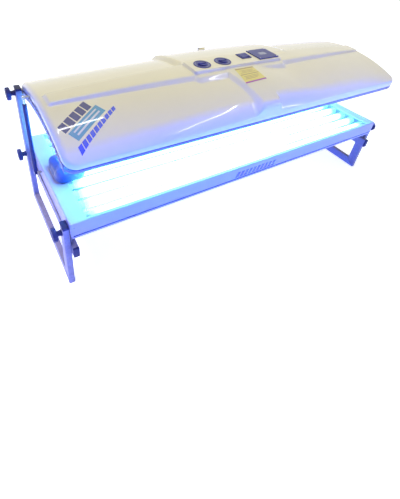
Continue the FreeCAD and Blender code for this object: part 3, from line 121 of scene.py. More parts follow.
class BedLight(bpy.types.PropertyGroup):
    """Levels of the lamps and the studio."""

    lamp: amount("Lamps", 14.0, "Glow of the lamp glass", 100.0)
    overhead: amount("Overhead", 120.0, "Power of the soft light overhead, in watts", 5000.0)
    tube: amount("Ceiling tubes", 5.0, "Glow of the room's own strip lights", 100.0)
    room: amount("Room", 0.11, "Level of the room's even light")
    spill: amount("Floor spill", 3.8, "Level of the lamp light that the floor throws back")
    floor_white: amount("Floor white", 0.82, "How far the floor is lifted toward white")


def sizes():
    """The sizes group of the scene."""
    return bpy.context.scene.bed_sizes


def colours():
    """The colours group of the scene."""
    return bpy.context.scene.bed_colours


def light():
    """The light group of the scene."""
    return bpy.context.scene.bed_light


def box_of(node):
    """Lowest and highest corner of a CAD node, as arrays."""
    low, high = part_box(node)
    return np.array(low), np.array(high)


# ---------------------------------------------------------------- shader effects

def add(tree, kind, place=(0, 0), **settings):
    """A shader node with its settings and its sockets' values; _ stands for a space in a socket."""
    made = tree.nodes.new(kind)
    made.location = place
    for name, value in settings.items():
        socket = name.replace("_", " ")
        if socket in made.inputs:
            made.inputs[socket].default_value = value
        else:
            setattr(made, name, value)
    return made


def wire(tree, *links):
    """Link sockets, each link given as node, output, node, input."""
    for source, output, target, entry in links:
        tree.links.new(source.outputs[output], target.inputs[entry])


def effect_group(name, takes, gives):
    """An empty shader group with its named sockets; returns the tree and its two end nodes."""
    tree = bpy.data.node_groups.new(name, "ShaderNodeTree")
    for label, kind, default in takes:
        socket = tree.interface.new_socket(label, in_out="INPUT", socket_type=kind)
        if default is not None:
            socket.default_value = default
    for label, kind in gives:
        tree.interface.new_socket(label, in_out="OUTPUT", socket_type=kind)
    return tree, add(tree, "NodeGroupInput", (-900, 0)), add(tree, "NodeGroupOutput", (700, 0))


FLOAT, COLOUR, VECTOR = "NodeSocketFloat", "NodeSocketColor", "NodeSocketVector"


def grain_effect():
    """Fine moulded or sprayed grain: a height and a mask."""
    tree, start, end = effect_group(
        "FineGrain",
        [("Vector", VECTOR, None), ("Scale", FLOAT, 900.0), ("Softness", FLOAT, 0.5)],
        [("Height", FLOAT), ("Mask", FLOAT)])
    fine = add(tree, "ShaderNodeTexNoise", (-600, 120), Detail=3.0)
    broad = add(tree, "ShaderNodeTexNoise", (-600, -180), Detail=2.0)
    share = add(tree, "ShaderNodeMath", (-780, -220), operation="MULTIPLY")
    share.inputs[1].default_value = 0.17
    blend = add(tree, "ShaderNodeMix", (-300, 0), data_type="FLOAT")
    wire(tree, (start, "Vector", fine, "Vector"), (start, "Vector", broad, "Vector"),
               (start, "Scale", fine, "Scale"), (start, "Scale", share, 0),
               (share, 0, broad, "Scale"), (start, "Softness", blend, "Factor"),
               (fine, "Fac", blend, "A"), (broad, "Fac", blend, "B"),
               (blend, "Result", end, "Height"), (broad, "Fac", end, "Mask"))
    return tree


def tone_effect():
    """Slow drift of a finish's colour, as sun, sweat and cleaning leave it."""
    tree, start, end = effect_group(
        "ToneDrift",
        [("Vector", VECTOR, None), ("Colour", COLOUR, (0.8, 0.8, 0.8, 1)),
         ("Drift", COLOUR, (0.7, 0.7, 0.7, 1)), ("Scale", FLOAT, 2.5), ("Amount", FLOAT, 0.5)],
        [("Colour", COLOUR)])
    cloud = add(tree, "ShaderNodeTexNoise", (-600, 0), Detail=4.0, Roughness=0.6)
    ramped = add(tree, "ShaderNodeMapRange", (-400, 0), From_Min=0.35, From_Max=0.75)
    scaled = add(tree, "ShaderNodeMath", (-200, 0), operation="MULTIPLY")
    blend = add(tree, "ShaderNodeMix", (100, 0), data_type="RGBA")
    wire(tree, (start, "Vector", cloud, "Vector"), (start, "Scale", cloud, "Scale"),
               (cloud, "Fac", ramped, "Value"), (ramped, "Result", scaled, 0),
               (start, "Amount", scaled, 1), (scaled, 0, blend, "Factor"),
               (start, "Colour", blend, "A"), (start, "Drift", blend, "B"),
               (blend, "Result", end, "Colour"))
    return tree


def wear_effect():
    """Rubbed convex edges, broken up by noise."""
    tree, start, end = effect_group(
        "EdgeWear",
        [("Vector", VECTOR, None), ("Scale", FLOAT, 60.0), ("Reach", FLOAT, 0.5)],
        [("Mask", FLOAT)])
    shape = add(tree, "ShaderNodeNewGeometry", (-700, 160))
    edge = add(tree, "ShaderNodeMapRange", (-480, 160), From_Min=0.505, From_Max=0.58)
    breaks = add(tree, "ShaderNodeTexNoise", (-700, -120), Detail=5.0, Roughness=0.7)
    gate = add(tree, "ShaderNodeMapRange", (-480, -120), From_Min=0.42, From_Max=0.62)
    both = add(tree, "ShaderNodeMath", (-240, 0), operation="MULTIPLY")
    reach = add(tree, "ShaderNodeMath", (0, 0), operation="MULTIPLY", use_clamp=True)
    wire(tree, (shape, "Pointiness", edge, "Value"), (start, "Vector", breaks, "Vector"),
               (start, "Scale", breaks, "Scale"), (breaks, "Fac", gate, "Value"),
               (edge, "Result", both, 0), (gate, "Result", both, 1), (both, 0, reach, 0),
               (start, "Reach", reach, 1), (reach, 0, end, "Mask"))
    return tree


def smudge_effect():
    """Wiped smears and fine hairline scratches, as a roughness and a mask."""
    tree, start, end = effect_group(
        "WipedSurface",
        [("Vector", VECTOR, None), ("Roughness", FLOAT, 0.3), ("Spread", FLOAT, 0.1),
         ("Scale", FLOAT, 6.0)],
        [("Roughness", FLOAT), ("Mask", FLOAT)])
    stretch = add(tree, "ShaderNodeVectorMath", (-760, -120), operation="MULTIPLY")
    stretch.inputs[1].default_value = (1.0, 7.0, 3.0)
    smear = add(tree, "ShaderNodeTexNoise", (-560, 100), Detail=5.0, Roughness=0.62)
    hair = add(tree, "ShaderNodeTexNoise", (-560, -160), Detail=2.0)
    finer = add(tree, "ShaderNodeMath", (-760, -320), operation="MULTIPLY")
    finer.inputs[1].default_value = 9.0
    mixed = add(tree, "ShaderNodeMix", (-320, 0), data_type="FLOAT", Factor=0.35)
    centred = add(tree, "ShaderNodeMath", (-120, 0), operation="SUBTRACT")
    centred.inputs[1].default_value = 0.5
    spread = add(tree, "ShaderNodeMath", (60, 0), operation="MULTIPLY_ADD")
    wire(tree, (start, "Vector", smear, "Vector"), (start, "Vector", stretch, 0),
               (stretch, 0, hair, "Vector"), (start, "Scale", smear, "Scale"),
               (start, "Scale", finer, 0), (finer, 0, hair, "Scale"), (smear, "Fac", mixed, "A"),
               (hair, "Fac", mixed, "B"), (mixed, "Result", centred, 0), (centred, 0, spread, 0),
               (start, "Spread", spread, 1), (start, "Roughness", spread, 2),
               (spread, 0, end, "Roughness"), (mixed, "Result", end, "Mask"))
    return tree


def brushed_effect():
    """Rolling or brushing lines along the bed: a height and a mask."""
    tree, start, end = effect_group(
        "RolledLines",
        [("Vector", VECTOR, None), ("Scale", FLOAT, 260.0)],
        [("Height", FLOAT), ("Mask", FLOAT)])
    stretch = add(tree, "ShaderNodeVectorMath", (-700, 0), operation="MULTIPLY")
    stretch.inputs[1].default_value = (0.03, 1.0, 1.0)
    lines = add(tree, "ShaderNodeTexNoise", (-460, 0), Detail=4.0, Roughness=0.7)
    wire(tree, (start, "Vector", stretch, 0), (stretch, 0, lines, "Vector"),
               (start, "Scale", lines, "Scale"), (lines, "Fac", end, "Height"),
               (lines, "Fac", end, "Mask"))
    return tree


EFFECTS = {}
EFFECT_MAKERS = {"FineGrain": grain_effect, "ToneDrift": tone_effect, "EdgeWear": wear_effect,
                 "WipedSurface": smudge_effect, "RolledLines": brushed_effect}


def effect(tree, name, place, **values):
    """One of the shared effects, placed in a material with its own values."""
    if name not in EFFECTS:
        EFFECTS[name] = EFFECT_MAKERS[name]()
    made = add(tree, "ShaderNodeGroup", place)
    made.node_tree = EFFECTS[name]
    for socket, value in values.items():
        made.inputs[socket].default_value = value
    return made


# ---------------------------------------------------------------- finishes

FINISHES = {}

# Bare metals: colour, roughness, its spread and the scale of the rolling lines.
METALS = {
    "chromed_rod": ((0.50, 0.51, 0.53), 0.12, 0.08, 900.0),
    "zinc_plating": ((0.40, 0.40, 0.39), 0.42, 0.22, 700.0),
    "reflector_sheet": ((0.86, 0.88, 0.90), 0.2, 0.12, 320.0),
    "spun_aluminium": ((0.74, 0.75, 0.77), 0.34, 0.2, 600.0),
}

# Colours of the adhesive films and prints.
FILMS = {
    "film_navy": (0.016, 0.014, 0.15),
    "film_teal": (0.06, 0.33, 0.52),
    "film_white": (0.72, 0.74, 0.72),
    "film_blue": (0.012, 0.06, 0.72),
    "label_yellow": (0.88, 0.77, 0.17),
    "label_magenta": (0.46, 0.10, 0.40),
    "label_ochre": (0.52, 0.36, 0.12),
    "dial_print": (0.42, 0.44, 0.66),
    "pointer_print": (0.008, 0.009, 0.05),
}


def rgba(value):
    """A colour with full alpha."""
    return (value[0], value[1], value[2], 1.0)


def shifted(value, factor, toward=(0.5, 0.5, 0.5), share=0.0):
    """A colour made lighter or darker, and moved a share of the way toward another."""
    return tuple(min(1.0, v * factor * (1 - share) + t * share) for v, t in zip(value, toward))


def paints():
    """Paints and mouldings: colour, drift, roughness, spread, grain scale, bump depth, the rest."""
    own = colours()
    face = shifted(own.navy, 1.0, (0.30, 0.32, 0.60), 0.10)
    return {
        # glossy vacuum-formed shell of the hood
        "ivory_plastic": (
            own.ivory, shifted(own.ivory, 0.955, (0.80, 0.72, 0.52), 0.14), 0.23, 0.12, 520.0,
            0.00012,
            dict(drift_amount=0.6, drift_scale=1.6, Coat_Weight=1.0, Coat_Roughness=0.03,
                 Coat_IOR=1.42, Specular_IOR_Level=0.25)),
        # powder coat of the welded end frames
        "frame_powder_coat": (
            own.taupe, shifted(own.taupe, 0.86), 0.36, 0.16, 1500.0, 0.00022,
            dict(wear=0.35, worn=shifted(own.taupe, 1.5), drift_scale=4.0)),
        # satin powder coat of the bench's pressed surround
        "bench_powder_coat": (
            own.bench, shifted(own.bench, 0.93, (0.7, 0.62, 0.45), 0.1), 0.30, 0.14, 1300.0,
            0.00015,
            dict(wear=0.3, worn=shifted(own.bench, 1.3), drift_scale=2.2)),
        # powder coats of the hood's end plates and of its side rails
        "plate_powder_coat": (
            own.plate_grey, shifted(own.plate_grey, 0.88), 0.4, 0.15, 1500.0, 0.0002,
            dict(wear=0.3, worn=shifted(own.plate_grey, 1.6), drift_scale=5.0)),
        "rail_powder_coat": (
            own.rail_grey, shifted(own.rail_grey, 1.4), 0.45, 0.15, 1500.0, 0.0002,
            dict(wear=0.3, worn=shifted(own.rail_grey, 1.6), drift_scale=5.0)),
        # textured moulding of knobs and caps
        "black_moulding": (
            own.black, shifted(own.black, 1.9), 0.42, 0.2, 2400.0, 0.00025,
            dict(wear=0.4, worn=(0.06, 0.06, 0.07), drift_scale=20.0, Specular_IOR_Level=0.25)),
        # rubber of the hood's edge strip, also the colour of the painted groove shadows under the
        # bench's faces
        "edge_rubber": (
            (0.03, 0.05, 0.09), (0.045, 0.07, 0.12), 0.55, 0.2, 1200.0, 0.0003,
            dict(drift_scale=12.0)),
        # dials, switch and display panel, and the lighter timer knobs and rocker
        "navy_moulding": (
            own.navy, shifted(own.navy, 0.8), 0.3, 0.12, 1800.0, 0.00012,
            dict(wear=0.25, worn=shifted(own.navy, 2.2), drift_scale=12.0)),
        "navy_face": (
            face, shifted(face, 0.8), 0.34, 0.12, 1800.0, 0.00012,
            dict(wear=0.25, worn=shifted(face, 1.8), drift_scale=12.0)),
        # near-black navy lacquer of the gas cylinders
        "black_lacquer": (
            (0.012, 0.016, 0.075), (0.020, 0.026, 0.095), 0.30, 0.12, 900.0, 0.00008,
            dict(wear=0.4, worn=(0.05, 0.06, 0.12), drift_scale=14.0, Specular_IOR_Level=0.25,
                 Coat_Weight=0.15, Coat_Roughness=0.06)),
        # lampholders
        "white_moulding": (
            (0.88, 0.88, 0.85), (0.80, 0.79, 0.72), 0.38, 0.15, 1500.0, 0.00015,
            dict(drift_scale=12.0)),
        # socket rings
        "cream_moulding": (
            (0.80, 0.74, 0.60), (0.72, 0.65, 0.50), 0.35, 0.15, 1500.0, 0.00015,
            dict(drift_scale=14.0)),
        # grey lacquer on laminated steel
        "ballast_lacquer": (
            (0.30, 0.31, 0.32), (0.22, 0.22, 0.22), 0.5, 0.2, 900.0, 0.0003,
            dict(wear=0.4, worn=(0.6, 0.6, 0.6), drift_scale=10.0)),
    }


def new_finish(name, **settings):
    """A material with one Principled shader; returns it with its tree, shader and coordinates."""
    material = bpy.data.materials.new(name)
    material.use_nodes = True
    tree = material.node_tree
    tree.nodes.clear()
    out = add(tree, "ShaderNodeOutputMaterial", (500, 0))
    shader = add(tree, "ShaderNodeBsdfPrincipled", (200, 0), **settings)
    wire(tree, (shader, 0, out, "Surface"))
    return material, tree, shader, add(tree, "ShaderNodeTexCoord", (-1100, 0))


def bump_from(tree, source, output, shader, strength, distance):
    """Feed a height into the shader's normal."""
    bump = add(tree, "ShaderNodeBump", (0, -300), Strength=strength, Distance=distance)
    wire(tree, (source, output, bump, "Height"), (bump, "Normal", shader, "Normal"))


def surfaced(tree, coords, shader, tone, wiped, *others):
    """Give the effects their coordinates, and feed tone and gloss into the shader."""
    for part in (tone, wiped) + others:
        wire(tree, (coords, "Object", part, "Vector"))
    wire(tree, (tone, "Colour", shader, "Base Color"), (wiped, "Roughness", shader, "Roughness"))


def coated(name, base, drift, rough, spread, grain, depth, wear=0.0, worn=(0.6, 0.58, 0.55),
           drift_amount=0.5, drift_scale=2.5, **settings):
    """A painted or moulded finish: drifting tone, wiped gloss, grain, and rubbed edges."""
    material, tree, shader, coords = new_finish(name, **settings)
    tone = effect(tree, "ToneDrift", (-700, 200), Colour=rgba(base), Drift=rgba(drift),
                  Scale=drift_scale, Amount=drift_amount)
    wiped = effect(tree, "WipedSurface", (-700, -100), Roughness=rough, Spread=spread)
    grained = effect(tree, "FineGrain", (-700, -350), Scale=grain)
    surfaced(tree, coords, shader, tone, wiped, grained)
    bump_from(tree, grained, "Height", shader, 0.35, depth)
    if wear:
        rubbed = effect(tree, "EdgeWear", (-700, 450), Reach=wear)
        mixed = add(tree, "ShaderNodeMix", (-200, 200), data_type="RGBA", B=rgba(worn))
        wire(tree, (coords, "Object", rubbed, "Vector"), (rubbed, "Mask", mixed, "Factor"),
             (tone, "Colour", mixed, "A"), (mixed, "Result", shader, "Base Color"))
    return material


def film(name, base):
    """Coloured adhesive film or print, a little rubbed."""
    return coated(name, base, shifted(base, 0.85, (0.8, 0.8, 0.8), 0.06), 0.34, 0.14, 900.0,
                  0.00006, drift_scale=12.0, Coat_Weight=1.0, Coat_Roughness=0.03)


def rolled_metal(name, base, rough, spread, scale):
    """Bare sheet or bar metal with rolling lines."""
    material, tree, shader, coords = new_finish(name, Metallic=1.0)
    lines = effect(tree, "RolledLines", (-700, 0), Scale=scale)
    wiped = effect(tree, "WipedSurface", (-700, -250), Roughness=rough, Spread=spread, Scale=14.0)
    tone = effect(tree, "ToneDrift", (-700, 250), Colour=rgba(base),
                  Drift=rgba(shifted(base, 0.72)), Scale=9.0, Amount=0.45)
    surfaced(tree, coords, shader, tone, wiped, lines)
    bump_from(tree, lines, "Height", shader, 0.25, 0.0002)
    return material


def acrylic(name):
    """Clear sheet that lets the lamps through."""
    material, tree, shader, coords = new_finish(name, Alpha=0.10, IOR=1.49)
    tone = effect(tree, "ToneDrift", (-700, 200), Colour=(0.80, 0.92, 1.0, 1),
                  Drift=(0.62, 0.80, 0.95, 1), Scale=3.0, Amount=0.5)
    wiped = effect(tree, "WipedSurface", (-700, -100), Roughness=0.06, Spread=0.08, Scale=9.0)
    surfaced(tree, coords, shader, tone, wiped)
    return material


def glowing_glass(name):
    """White phosphor-coated lamp glass, dimmer and greyer toward its ends, alight."""
    half, dim_reach, dimmest = float(box_of("bench_lamp_tubes")[1][0]), 0.055, 0.22
    material, tree, shader, coords = new_finish(name, Roughness=0.22,
                                                Emission_Strength=light().lamp)
    split = add(tree, "ShaderNodeSeparateXYZ", (-900, 0))
    away = add(tree, "ShaderNodeMath", (-720, 0), operation="ABSOLUTE")
    fade = add(tree, "ShaderNodeMapRange", (-540, 0), interpolation_type="SMOOTHSTEP",
               From_Min=half, From_Max=half - dim_reach, To_Min=dimmest, To_Max=1.0)
    glow = add(tree, "ShaderNodeMix", (-300, -150), data_type="RGBA", A=(0.0, 0.0, 0.0, 1),
               B=rgba(colours().lamp))
    tone = effect(tree, "ToneDrift", (-500, 260), Colour=(0.86, 0.90, 0.95, 1),
                  Drift=(0.76, 0.82, 0.90, 1), Scale=8.0, Amount=0.4)
    wire(tree, (coords, "Object", split, 0), (split, "X", away, 0), (away, 0, fade, "Value"),
         (fade, "Result", glow, "Factor"), (glow, "Result", shader, "Emission Color"),
         (coords, "Object", tone, "Vector"), (tone, "Colour", shader, "Base Color"))
    return material


def vinyl(name):
    """Glossy navy vinyl with a fine leather grain and soft creases."""
    base = colours().pillow
    material, tree, shader, coords = new_finish(name, Coat_Weight=0.9, Coat_Roughness=0.3,
                                                Specular_IOR_Level=0.5)
    tone = effect(tree, "ToneDrift", (-700, 250), Colour=rgba(base), Drift=rgba(shifted(base, 0.7)),
                  Scale=14.0, Amount=0.5)
    wiped = effect(tree, "WipedSurface", (-700, 0), Roughness=0.32, Spread=0.16, Scale=12.0)
    cells = add(tree, "ShaderNodeTexVoronoi", (-700, -250), feature="DISTANCE_TO_EDGE", Scale=620.0)
    pores = add(tree, "ShaderNodeMapRange", (-480, -250), From_Max=0.28)
    crease = effect(tree, "FineGrain", (-700, -480), Scale=55.0, Softness=0.7)
    height = add(tree, "ShaderNodeMath", (-240, -320), operation="MULTIPLY_ADD")
    height.inputs[1].default_value = 0.35
    surfaced(tree, coords, shader, tone, wiped, cells, crease)
    wire(tree, (cells, "Distance", pores, "Value"), (pores, "Result", height, 0),
         (crease, "Height", height, 2))
    bump_from(tree, height, 0, shader, 0.30, 0.0006)
    return material


def window_glass(name):
    """Tinted lens of the display."""
    material, tree, shader, coords = new_finish(name, Coat_Weight=0.8, Coat_Roughness=0.03)
    wiped = effect(tree, "WipedSurface", (-700, -100), Roughness=0.12, Spread=0.1, Scale=60.0)
    tone = effect(tree, "ToneDrift", (-700, 200), Colour=(0.17, 0.19, 0.34, 1),
                  Drift=(0.24, 0.26, 0.42, 1), Scale=40.0, Amount=0.6)
    surfaced(tree, coords, shader, tone, wiped)
    return material


SPECIAL = {"clear_acrylic": acrylic, "glowing_glass": glowing_glass, "navy_vinyl": vinyl,
           "display_lens": window_glass}


def finish_of(name):
    """A finish by its name, built the first time it is asked for."""
    if name not in FINISHES:
        if name in SPECIAL:
            FINISHES[name] = SPECIAL[name](name)
        elif name in METALS:
            FINISHES[name] = rolled_metal(name, *METALS[name])
        elif name in FILMS:
            FINISHES[name] = film(name, FILMS[name])
        else:
            *values, extras = paints()[name]
            FINISHES[name] = coated(name, *values, **extras)
    return FINISHES[name]


# ---------------------------------------------------------------- mesh work

def linked(name, data):
    """An object of some data, in the scene."""
    obj = bpy.data.objects.new(name, data)
    bpy.context.scene.collection.objects.link(obj)
    return obj


def finished(obj, body, finish, slot, *nodes):
    """Give a piece its finish and its body, and hide the CAD nodes it stands for; slot is not used.
    """
    obj.data.materials.clear()
    obj.data.materials.append(finish_of(finish))
    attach(obj, body)
    if nodes:
        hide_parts(*nodes)
    return obj


def object_from(name, points, faces, smooth=True):
    """A mesh object from points and faces."""
    mesh = bpy.data.meshes.new(name)
    mesh.from_pydata([tuple(p) for p in points], [], faces)
    mesh.validate()
    if smooth:
        mesh.shade_smooth()
    return linked(name, mesh)


def object_of(name, work, smooth_angle):
    """A mesh object from a bmesh, with outward normals, smooth up to an angle in degrees."""
    bmesh.ops.recalc_face_normals(work, faces=work.faces)
    mesh = bpy.data.meshes.new(name)
    work.to_mesh(mesh)
    work.free()
    mesh.shade_smooth()
    mesh.set_sharp_from_angle(angle=math.radians(smooth_angle))
    return linked(name, mesh)


def joined(name, parts):
    """Several pieces as one, under a new name."""
    if len(parts) > 1:
        with bpy.context.temp_override(active_object=parts[0], selected_editable_objects=parts):
            bpy.ops.object.join()
    parts[0].name = parts[0].data.name = name
    return parts[0]


def dress(node, finish, edge=0.0006, segments=2, angle=32):
    """Keep a CAD node as it is, with a finish and softly broken edges."""
    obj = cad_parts[node]
    obj.data.materials.clear()
    obj.data.materials.append(finish_of(finish))
    weld = obj.modifiers.new("Weld", "WELD")
    weld.merge_threshold = 0.00001
    if edge:
        flat = obj.modifiers.new("Flat", "DECIMATE")
        flat.decimate_type = "DISSOLVE"
        flat.angle_limit = math.radians(1.0)
        bevel = obj.modifiers.new("Edges", "BEVEL")
        bevel.width = edge
        bevel.segments = segments
        bevel.limit_method = "ANGLE"
        bevel.angle_limit = math.radians(angle)
        bevel.use_clamp_overlap = True
        bevel.harden_normals = False
    obj.data.shade_smooth()
    normals = obj.modifiers.new("Normals", "WEIGHTED_NORMAL")
    normals.keep_sharp = True
    normals.weight = 60


def dress_all(*rows):
    """Dress several CAD nodes, each given as node, finish, edge and perhaps segments."""
    for row in rows:
        dress(*row)


def ring_faces(first, second):
    """Quads between two rings of points, given by their indices in order."""
    count = len(first)
    return [(first[k], first[(k + 1) % count], second[(k + 1) % count], second[k])
            for k in range(count)]


def stacked_rings(rows, count, closed=False):
    """Quads between rows of points that follow one another, and round to the first if closed."""
    rings = [range(row * count, (row + 1) * count) for row in range(rows)]
    after = rings[1:] + rings[:1] if closed else rings[1:]
    return [face for first, second in zip(rings, after) for face in ring_faces(first, second)]


def turned(name, profile, start, axis, around=48, scallops=0, depth=0.0, cut_from=0.0):
    """A turned piece; profile is (radius, distance along the axis) from end to end."""
    along = Vector(axis).normalized()
    side = along.orthogonal().normalized()
    across = along.cross(side)
    points = []
    for radius, distance in profile:
        for step in range(around):
            turn = 2 * math.pi * step / around
            wave = 0.5 - 0.5 * math.cos(scallops * turn) if scallops else 0.0
            share = max(0.0, min(1.0, (radius - cut_from) / max(1e-6, depth * 2)))
            reach = radius - depth * (wave ** 1.6) * share if scallops else radius
            spot = Vector(start) + along * distance
            spot += side * (reach * math.cos(turn)) + across * (reach * math.sin(turn))
            points.append(spot)
    rows = len(profile)
    faces = stacked_rings(rows, around)
    for row, spot in ((0, profile[0]), (rows - 1, profile[-1])):
        centre = len(points)
        points.append(Vector(start) + along * spot[1])
        for step in range(around):
            after = (step + 1) % around
            ring = (row * around + after, row * around + step)
            faces.append((*(ring if row == 0 else ring[::-1]), centre))
    obj = object_from(name, points, faces)
    obj.data.set_sharp_from_angle(angle=math.radians(38))
    return obj


def rectangle(low_a, high_a, low_b, high_b):
    """The four corners of a rectangle."""
    return [(low_a, low_b), (high_a, low_b), (high_a, high_b), (low_a, high_b)]


def prism(name, outline, low, high, axis="x", soften=0.0, keep=(), segments=3):
    """An extruded outline whose edges are rounded, except at the corners listed in keep."""
    def spot(first, second, level):
        return (level, first, second) if axis == "x" else (first, second, level)

    work = bmesh.new()
    lower = [work.verts.new(spot(a, b, low)) for a, b in outline]
    upper = [work.verts.new(spot(a, b, high)) for a, b in outline]
    work.faces.new(lower)
    work.faces.new(upper)
    count = len(outline)
    for index in range(count):
        after = (index + 1) % count
        work.faces.new((lower[index], lower[after], upper[after], upper[index]))
    if soften:
        sharp = set()
        for index in keep:
            after = (index + 1) % count
            for ends in ((lower[index], lower[after]), (upper[index], upper[after]),
                         (lower[index], upper[index]), (lower[after], upper[after])):
                sharp.add(frozenset(ends))
        chosen = [edge for edge in work.edges if frozenset(edge.verts) not in sharp]
        bmesh.ops.bevel(work, geom=chosen, offset=soften, segments=segments, profile=0.5,
                        affect="EDGES", clamp_overlap=True)
    return object_of(name, work, smooth_angle=40)


def ramp(value, low, high):
    """Smooth step from 0 at low to 1 at high."""
    t = np.clip((value - low) / (high - low), 0.0, 1.0)
    return t * t * (3 - 2 * t)


def soft_max(first, second, blend):
    """The larger of two heights, blended where they meet."""
    near = np.clip(0.5 + 0.5 * (first - second) / blend, 0.0, 1.0)
    return second * (1 - near) + first * near + blend * near * (1 - near)


def plan_distance(x, y, half_x, half_y, corner):
    """Distance outside (+) or inside (-) a rounded rectangle about the origin."""
    over_x, over_y = np.abs(x) - (half_x - corner), np.abs(y) - (half_y - corner)
    outside = np.hypot(np.maximum(over_x, 0), np.maximum(over_y, 0))
    return outside + np.minimum(np.maximum(over_x, over_y), 0) - corner


def graded(stops, spans):
    """Grid lines from stop to stop, each span split by its own step."""
    lines = [stops[0]]
    for start, stop, step in zip(stops[:-1], stops[1:], spans):
        count = max(1, int(round((stop - start) / step)))
        lines += [start + (stop - start) * (k + 1) / count for k in range(count)]
    return lines


# Distances from the hood's edge at which its grid has a line.
EDGE_STEPS = np.array([0, 0.12, 0.5, 1.1, 2.0, 3.2, 4.8, 6.8, 9.2, 12, 15.5, 19.5, 24, 29, 35, 42,
                       46.5]) * MM


def sheet_grid(half, corner, inner_lines, steps):
    """Grid lines across a sheet: fine rows along both edges and given lines between."""
    edge = [step for step in steps if step < corner] + [corner]
    low = [-half + step for step in edge]
    middle = [line for line in inner_lines if -half + corner + 1e-6 < line < half - corner - 1e-6]
    return np.array(low + middle + [-value for value in reversed(low)])


def rounded_plan(xs, ys, half_x, half_y, corner):
    """Plan places of a grid whose square corners are drawn in to round ones, with the way out."""
    x, y = np.meshgrid(xs, ys, indexing="ij")
    u, v = np.abs(x) - (half_x - corner), np.abs(y) - (half_y - corner)
    in_corner = (u > 0) & (v > 0)
    reach = np.hypot(u, v)
    scale = np.where(in_corner, np.maximum(u, v) / np.maximum(reach, 1e-9), 1.0)
    x = np.where(in_corner, np.sign(x) * (half_x - corner + u * scale), x)
    y = np.where(in_corner, np.sign(y) * (half_y - corner + v * scale), y)
    toward_x = half_x - np.abs(x) < half_y - np.abs(y)
    out_x = np.where(in_corner, np.sign(x) * u / np.maximum(reach, 1e-9),
                     np.where(toward_x, np.sign(x), 0.0))
    out_y = np.where(in_corner, np.sign(y) * v / np.maximum(reach, 1e-9),
                     np.where(toward_x, 0.0, np.sign(y)))
    depth = np.where(in_corner, corner - np.maximum(u, v),
                     np.minimum(half_x - np.abs(x), half_y - np.abs(y)))
    return x, y, out_x, out_y, np.maximum(depth, 0.0)


def rolled_edge(top, x, y, out_x, out_y, depth, radius):
    """Heights of a sheet whose edge rolls over by a radius that may vary."""
    centre_x, centre_y = x + out_x * (depth - radius), y + out_y * (depth - radius)
    step = 0.0015
    sine = np.zeros_like(x)
    for _ in range(3):
        touch_x, touch_y = centre_x + out_x * radius * sine, centre_y + out_y * radius * sine
        fall = (top(touch_x - out_x * step, touch_y - out_y * step)
                - top(touch_x + out_x * step, touch_y + out_y * step)) / (2 * step)
        sine = np.clip(fall / np.sqrt(1 + fall * fall), -0.95, 0.95)
    touch_x, touch_y = centre_x + out_x * radius * sine, centre_y + out_y * radius * sine
    centre_z = top(touch_x, touch_y) - radius * np.sqrt(1 - sine * sine)
    offset = radius - depth
    rolled = centre_z + np.sqrt(np.maximum(radius * radius - offset * offset, 0.0))
    flat = top(x, y)
    edge = np.where(offset > 0, rolled, np.minimum(rolled, flat))
    return np.where(offset > radius * sine, edge, flat)


def border_loop(rows, columns):
    """Grid indices round the border of a grid, in order."""
    loop = [(i, 0) for i in range(rows)] + [(rows - 1, j) for j in range(1, columns)]
    loop += [(i, columns - 1) for i in range(rows - 2, -1, -1)]
    return loop + [(0, j) for j in range(columns - 2, 0, -1)]


def sheet_mesh(name, x, y, z, foot, wall_rows=4, opening=None):
    """A sheet with walls down to foot(x, y), and a wall round an opening.

    The opening is (half length, half width, wall height), about the middle of the sheet.
    """
    rows, columns = x.shape
    points = [(x[i, j], y[i, j], z[i, j]) for i in range(rows) for j in range(columns)]
    faces, open_cells = [], set()
    for i in range(rows - 1):
        for j in range(columns - 1):
            if opening is not None:
                half_x, half_y, _ = opening
                if (abs((x[i, j] + x[i + 1, j + 1]) / 2) < half_x
                        and abs((y[i, j] + y[i + 1, j + 1]) / 2) < half_y):
                    open_cells.add((i, j))
                    continue
            faces.append((i * columns + j, (i + 1) * columns + j,
                          (i + 1) * columns + j + 1, i * columns + j + 1))
    loop = border_loop(rows, columns)
    previous = [i * columns + j for i, j in loop]
    for row in range(1, wall_rows + 1):
        current = range(len(points), len(points) + len(loop))
        for i, j in loop:
            level = foot(x[i, j], y[i, j])
            points.append((x[i, j], y[i, j], z[i, j] + (level - z[i, j]) * row / wall_rows))
        faces += ring_faces(current, previous)
        previous = current
    if opening is not None:
        low_i, high_i = min(c[0] for c in open_cells), max(c[0] for c in open_cells) + 1
        low_j, high_j = min(c[1] for c in open_cells), max(c[1] for c in open_cells) + 1
        ring = [(i, low_j) for i in range(low_i, high_i + 1)]
        ring += [(high_i, j) for j in range(low_j + 1, high_j + 1)]
        ring += [(i, high_j) for i in range(high_i - 1, low_i - 1, -1)]
        ring += [(low_i, j) for j in range(high_j - 1, low_j, -1)]
        top_ring = [i * columns + j for i, j in ring]
        low_ring = range(len(points), len(points) + len(ring))
        points += [(x[i, j], y[i, j], z[i, j] - opening[2]) for i, j in ring]
        faces += ring_faces(top_ring, low_ring)
    used = sorted({index for face in faces for index in face})
    renumber = {old: new for new, old in enumerate(used)}
    return object_from(name, [points[k] for k in used],
                       [tuple(renumber[k] for k in face) for face in faces])


# ---------------------------------------------------------------- hood

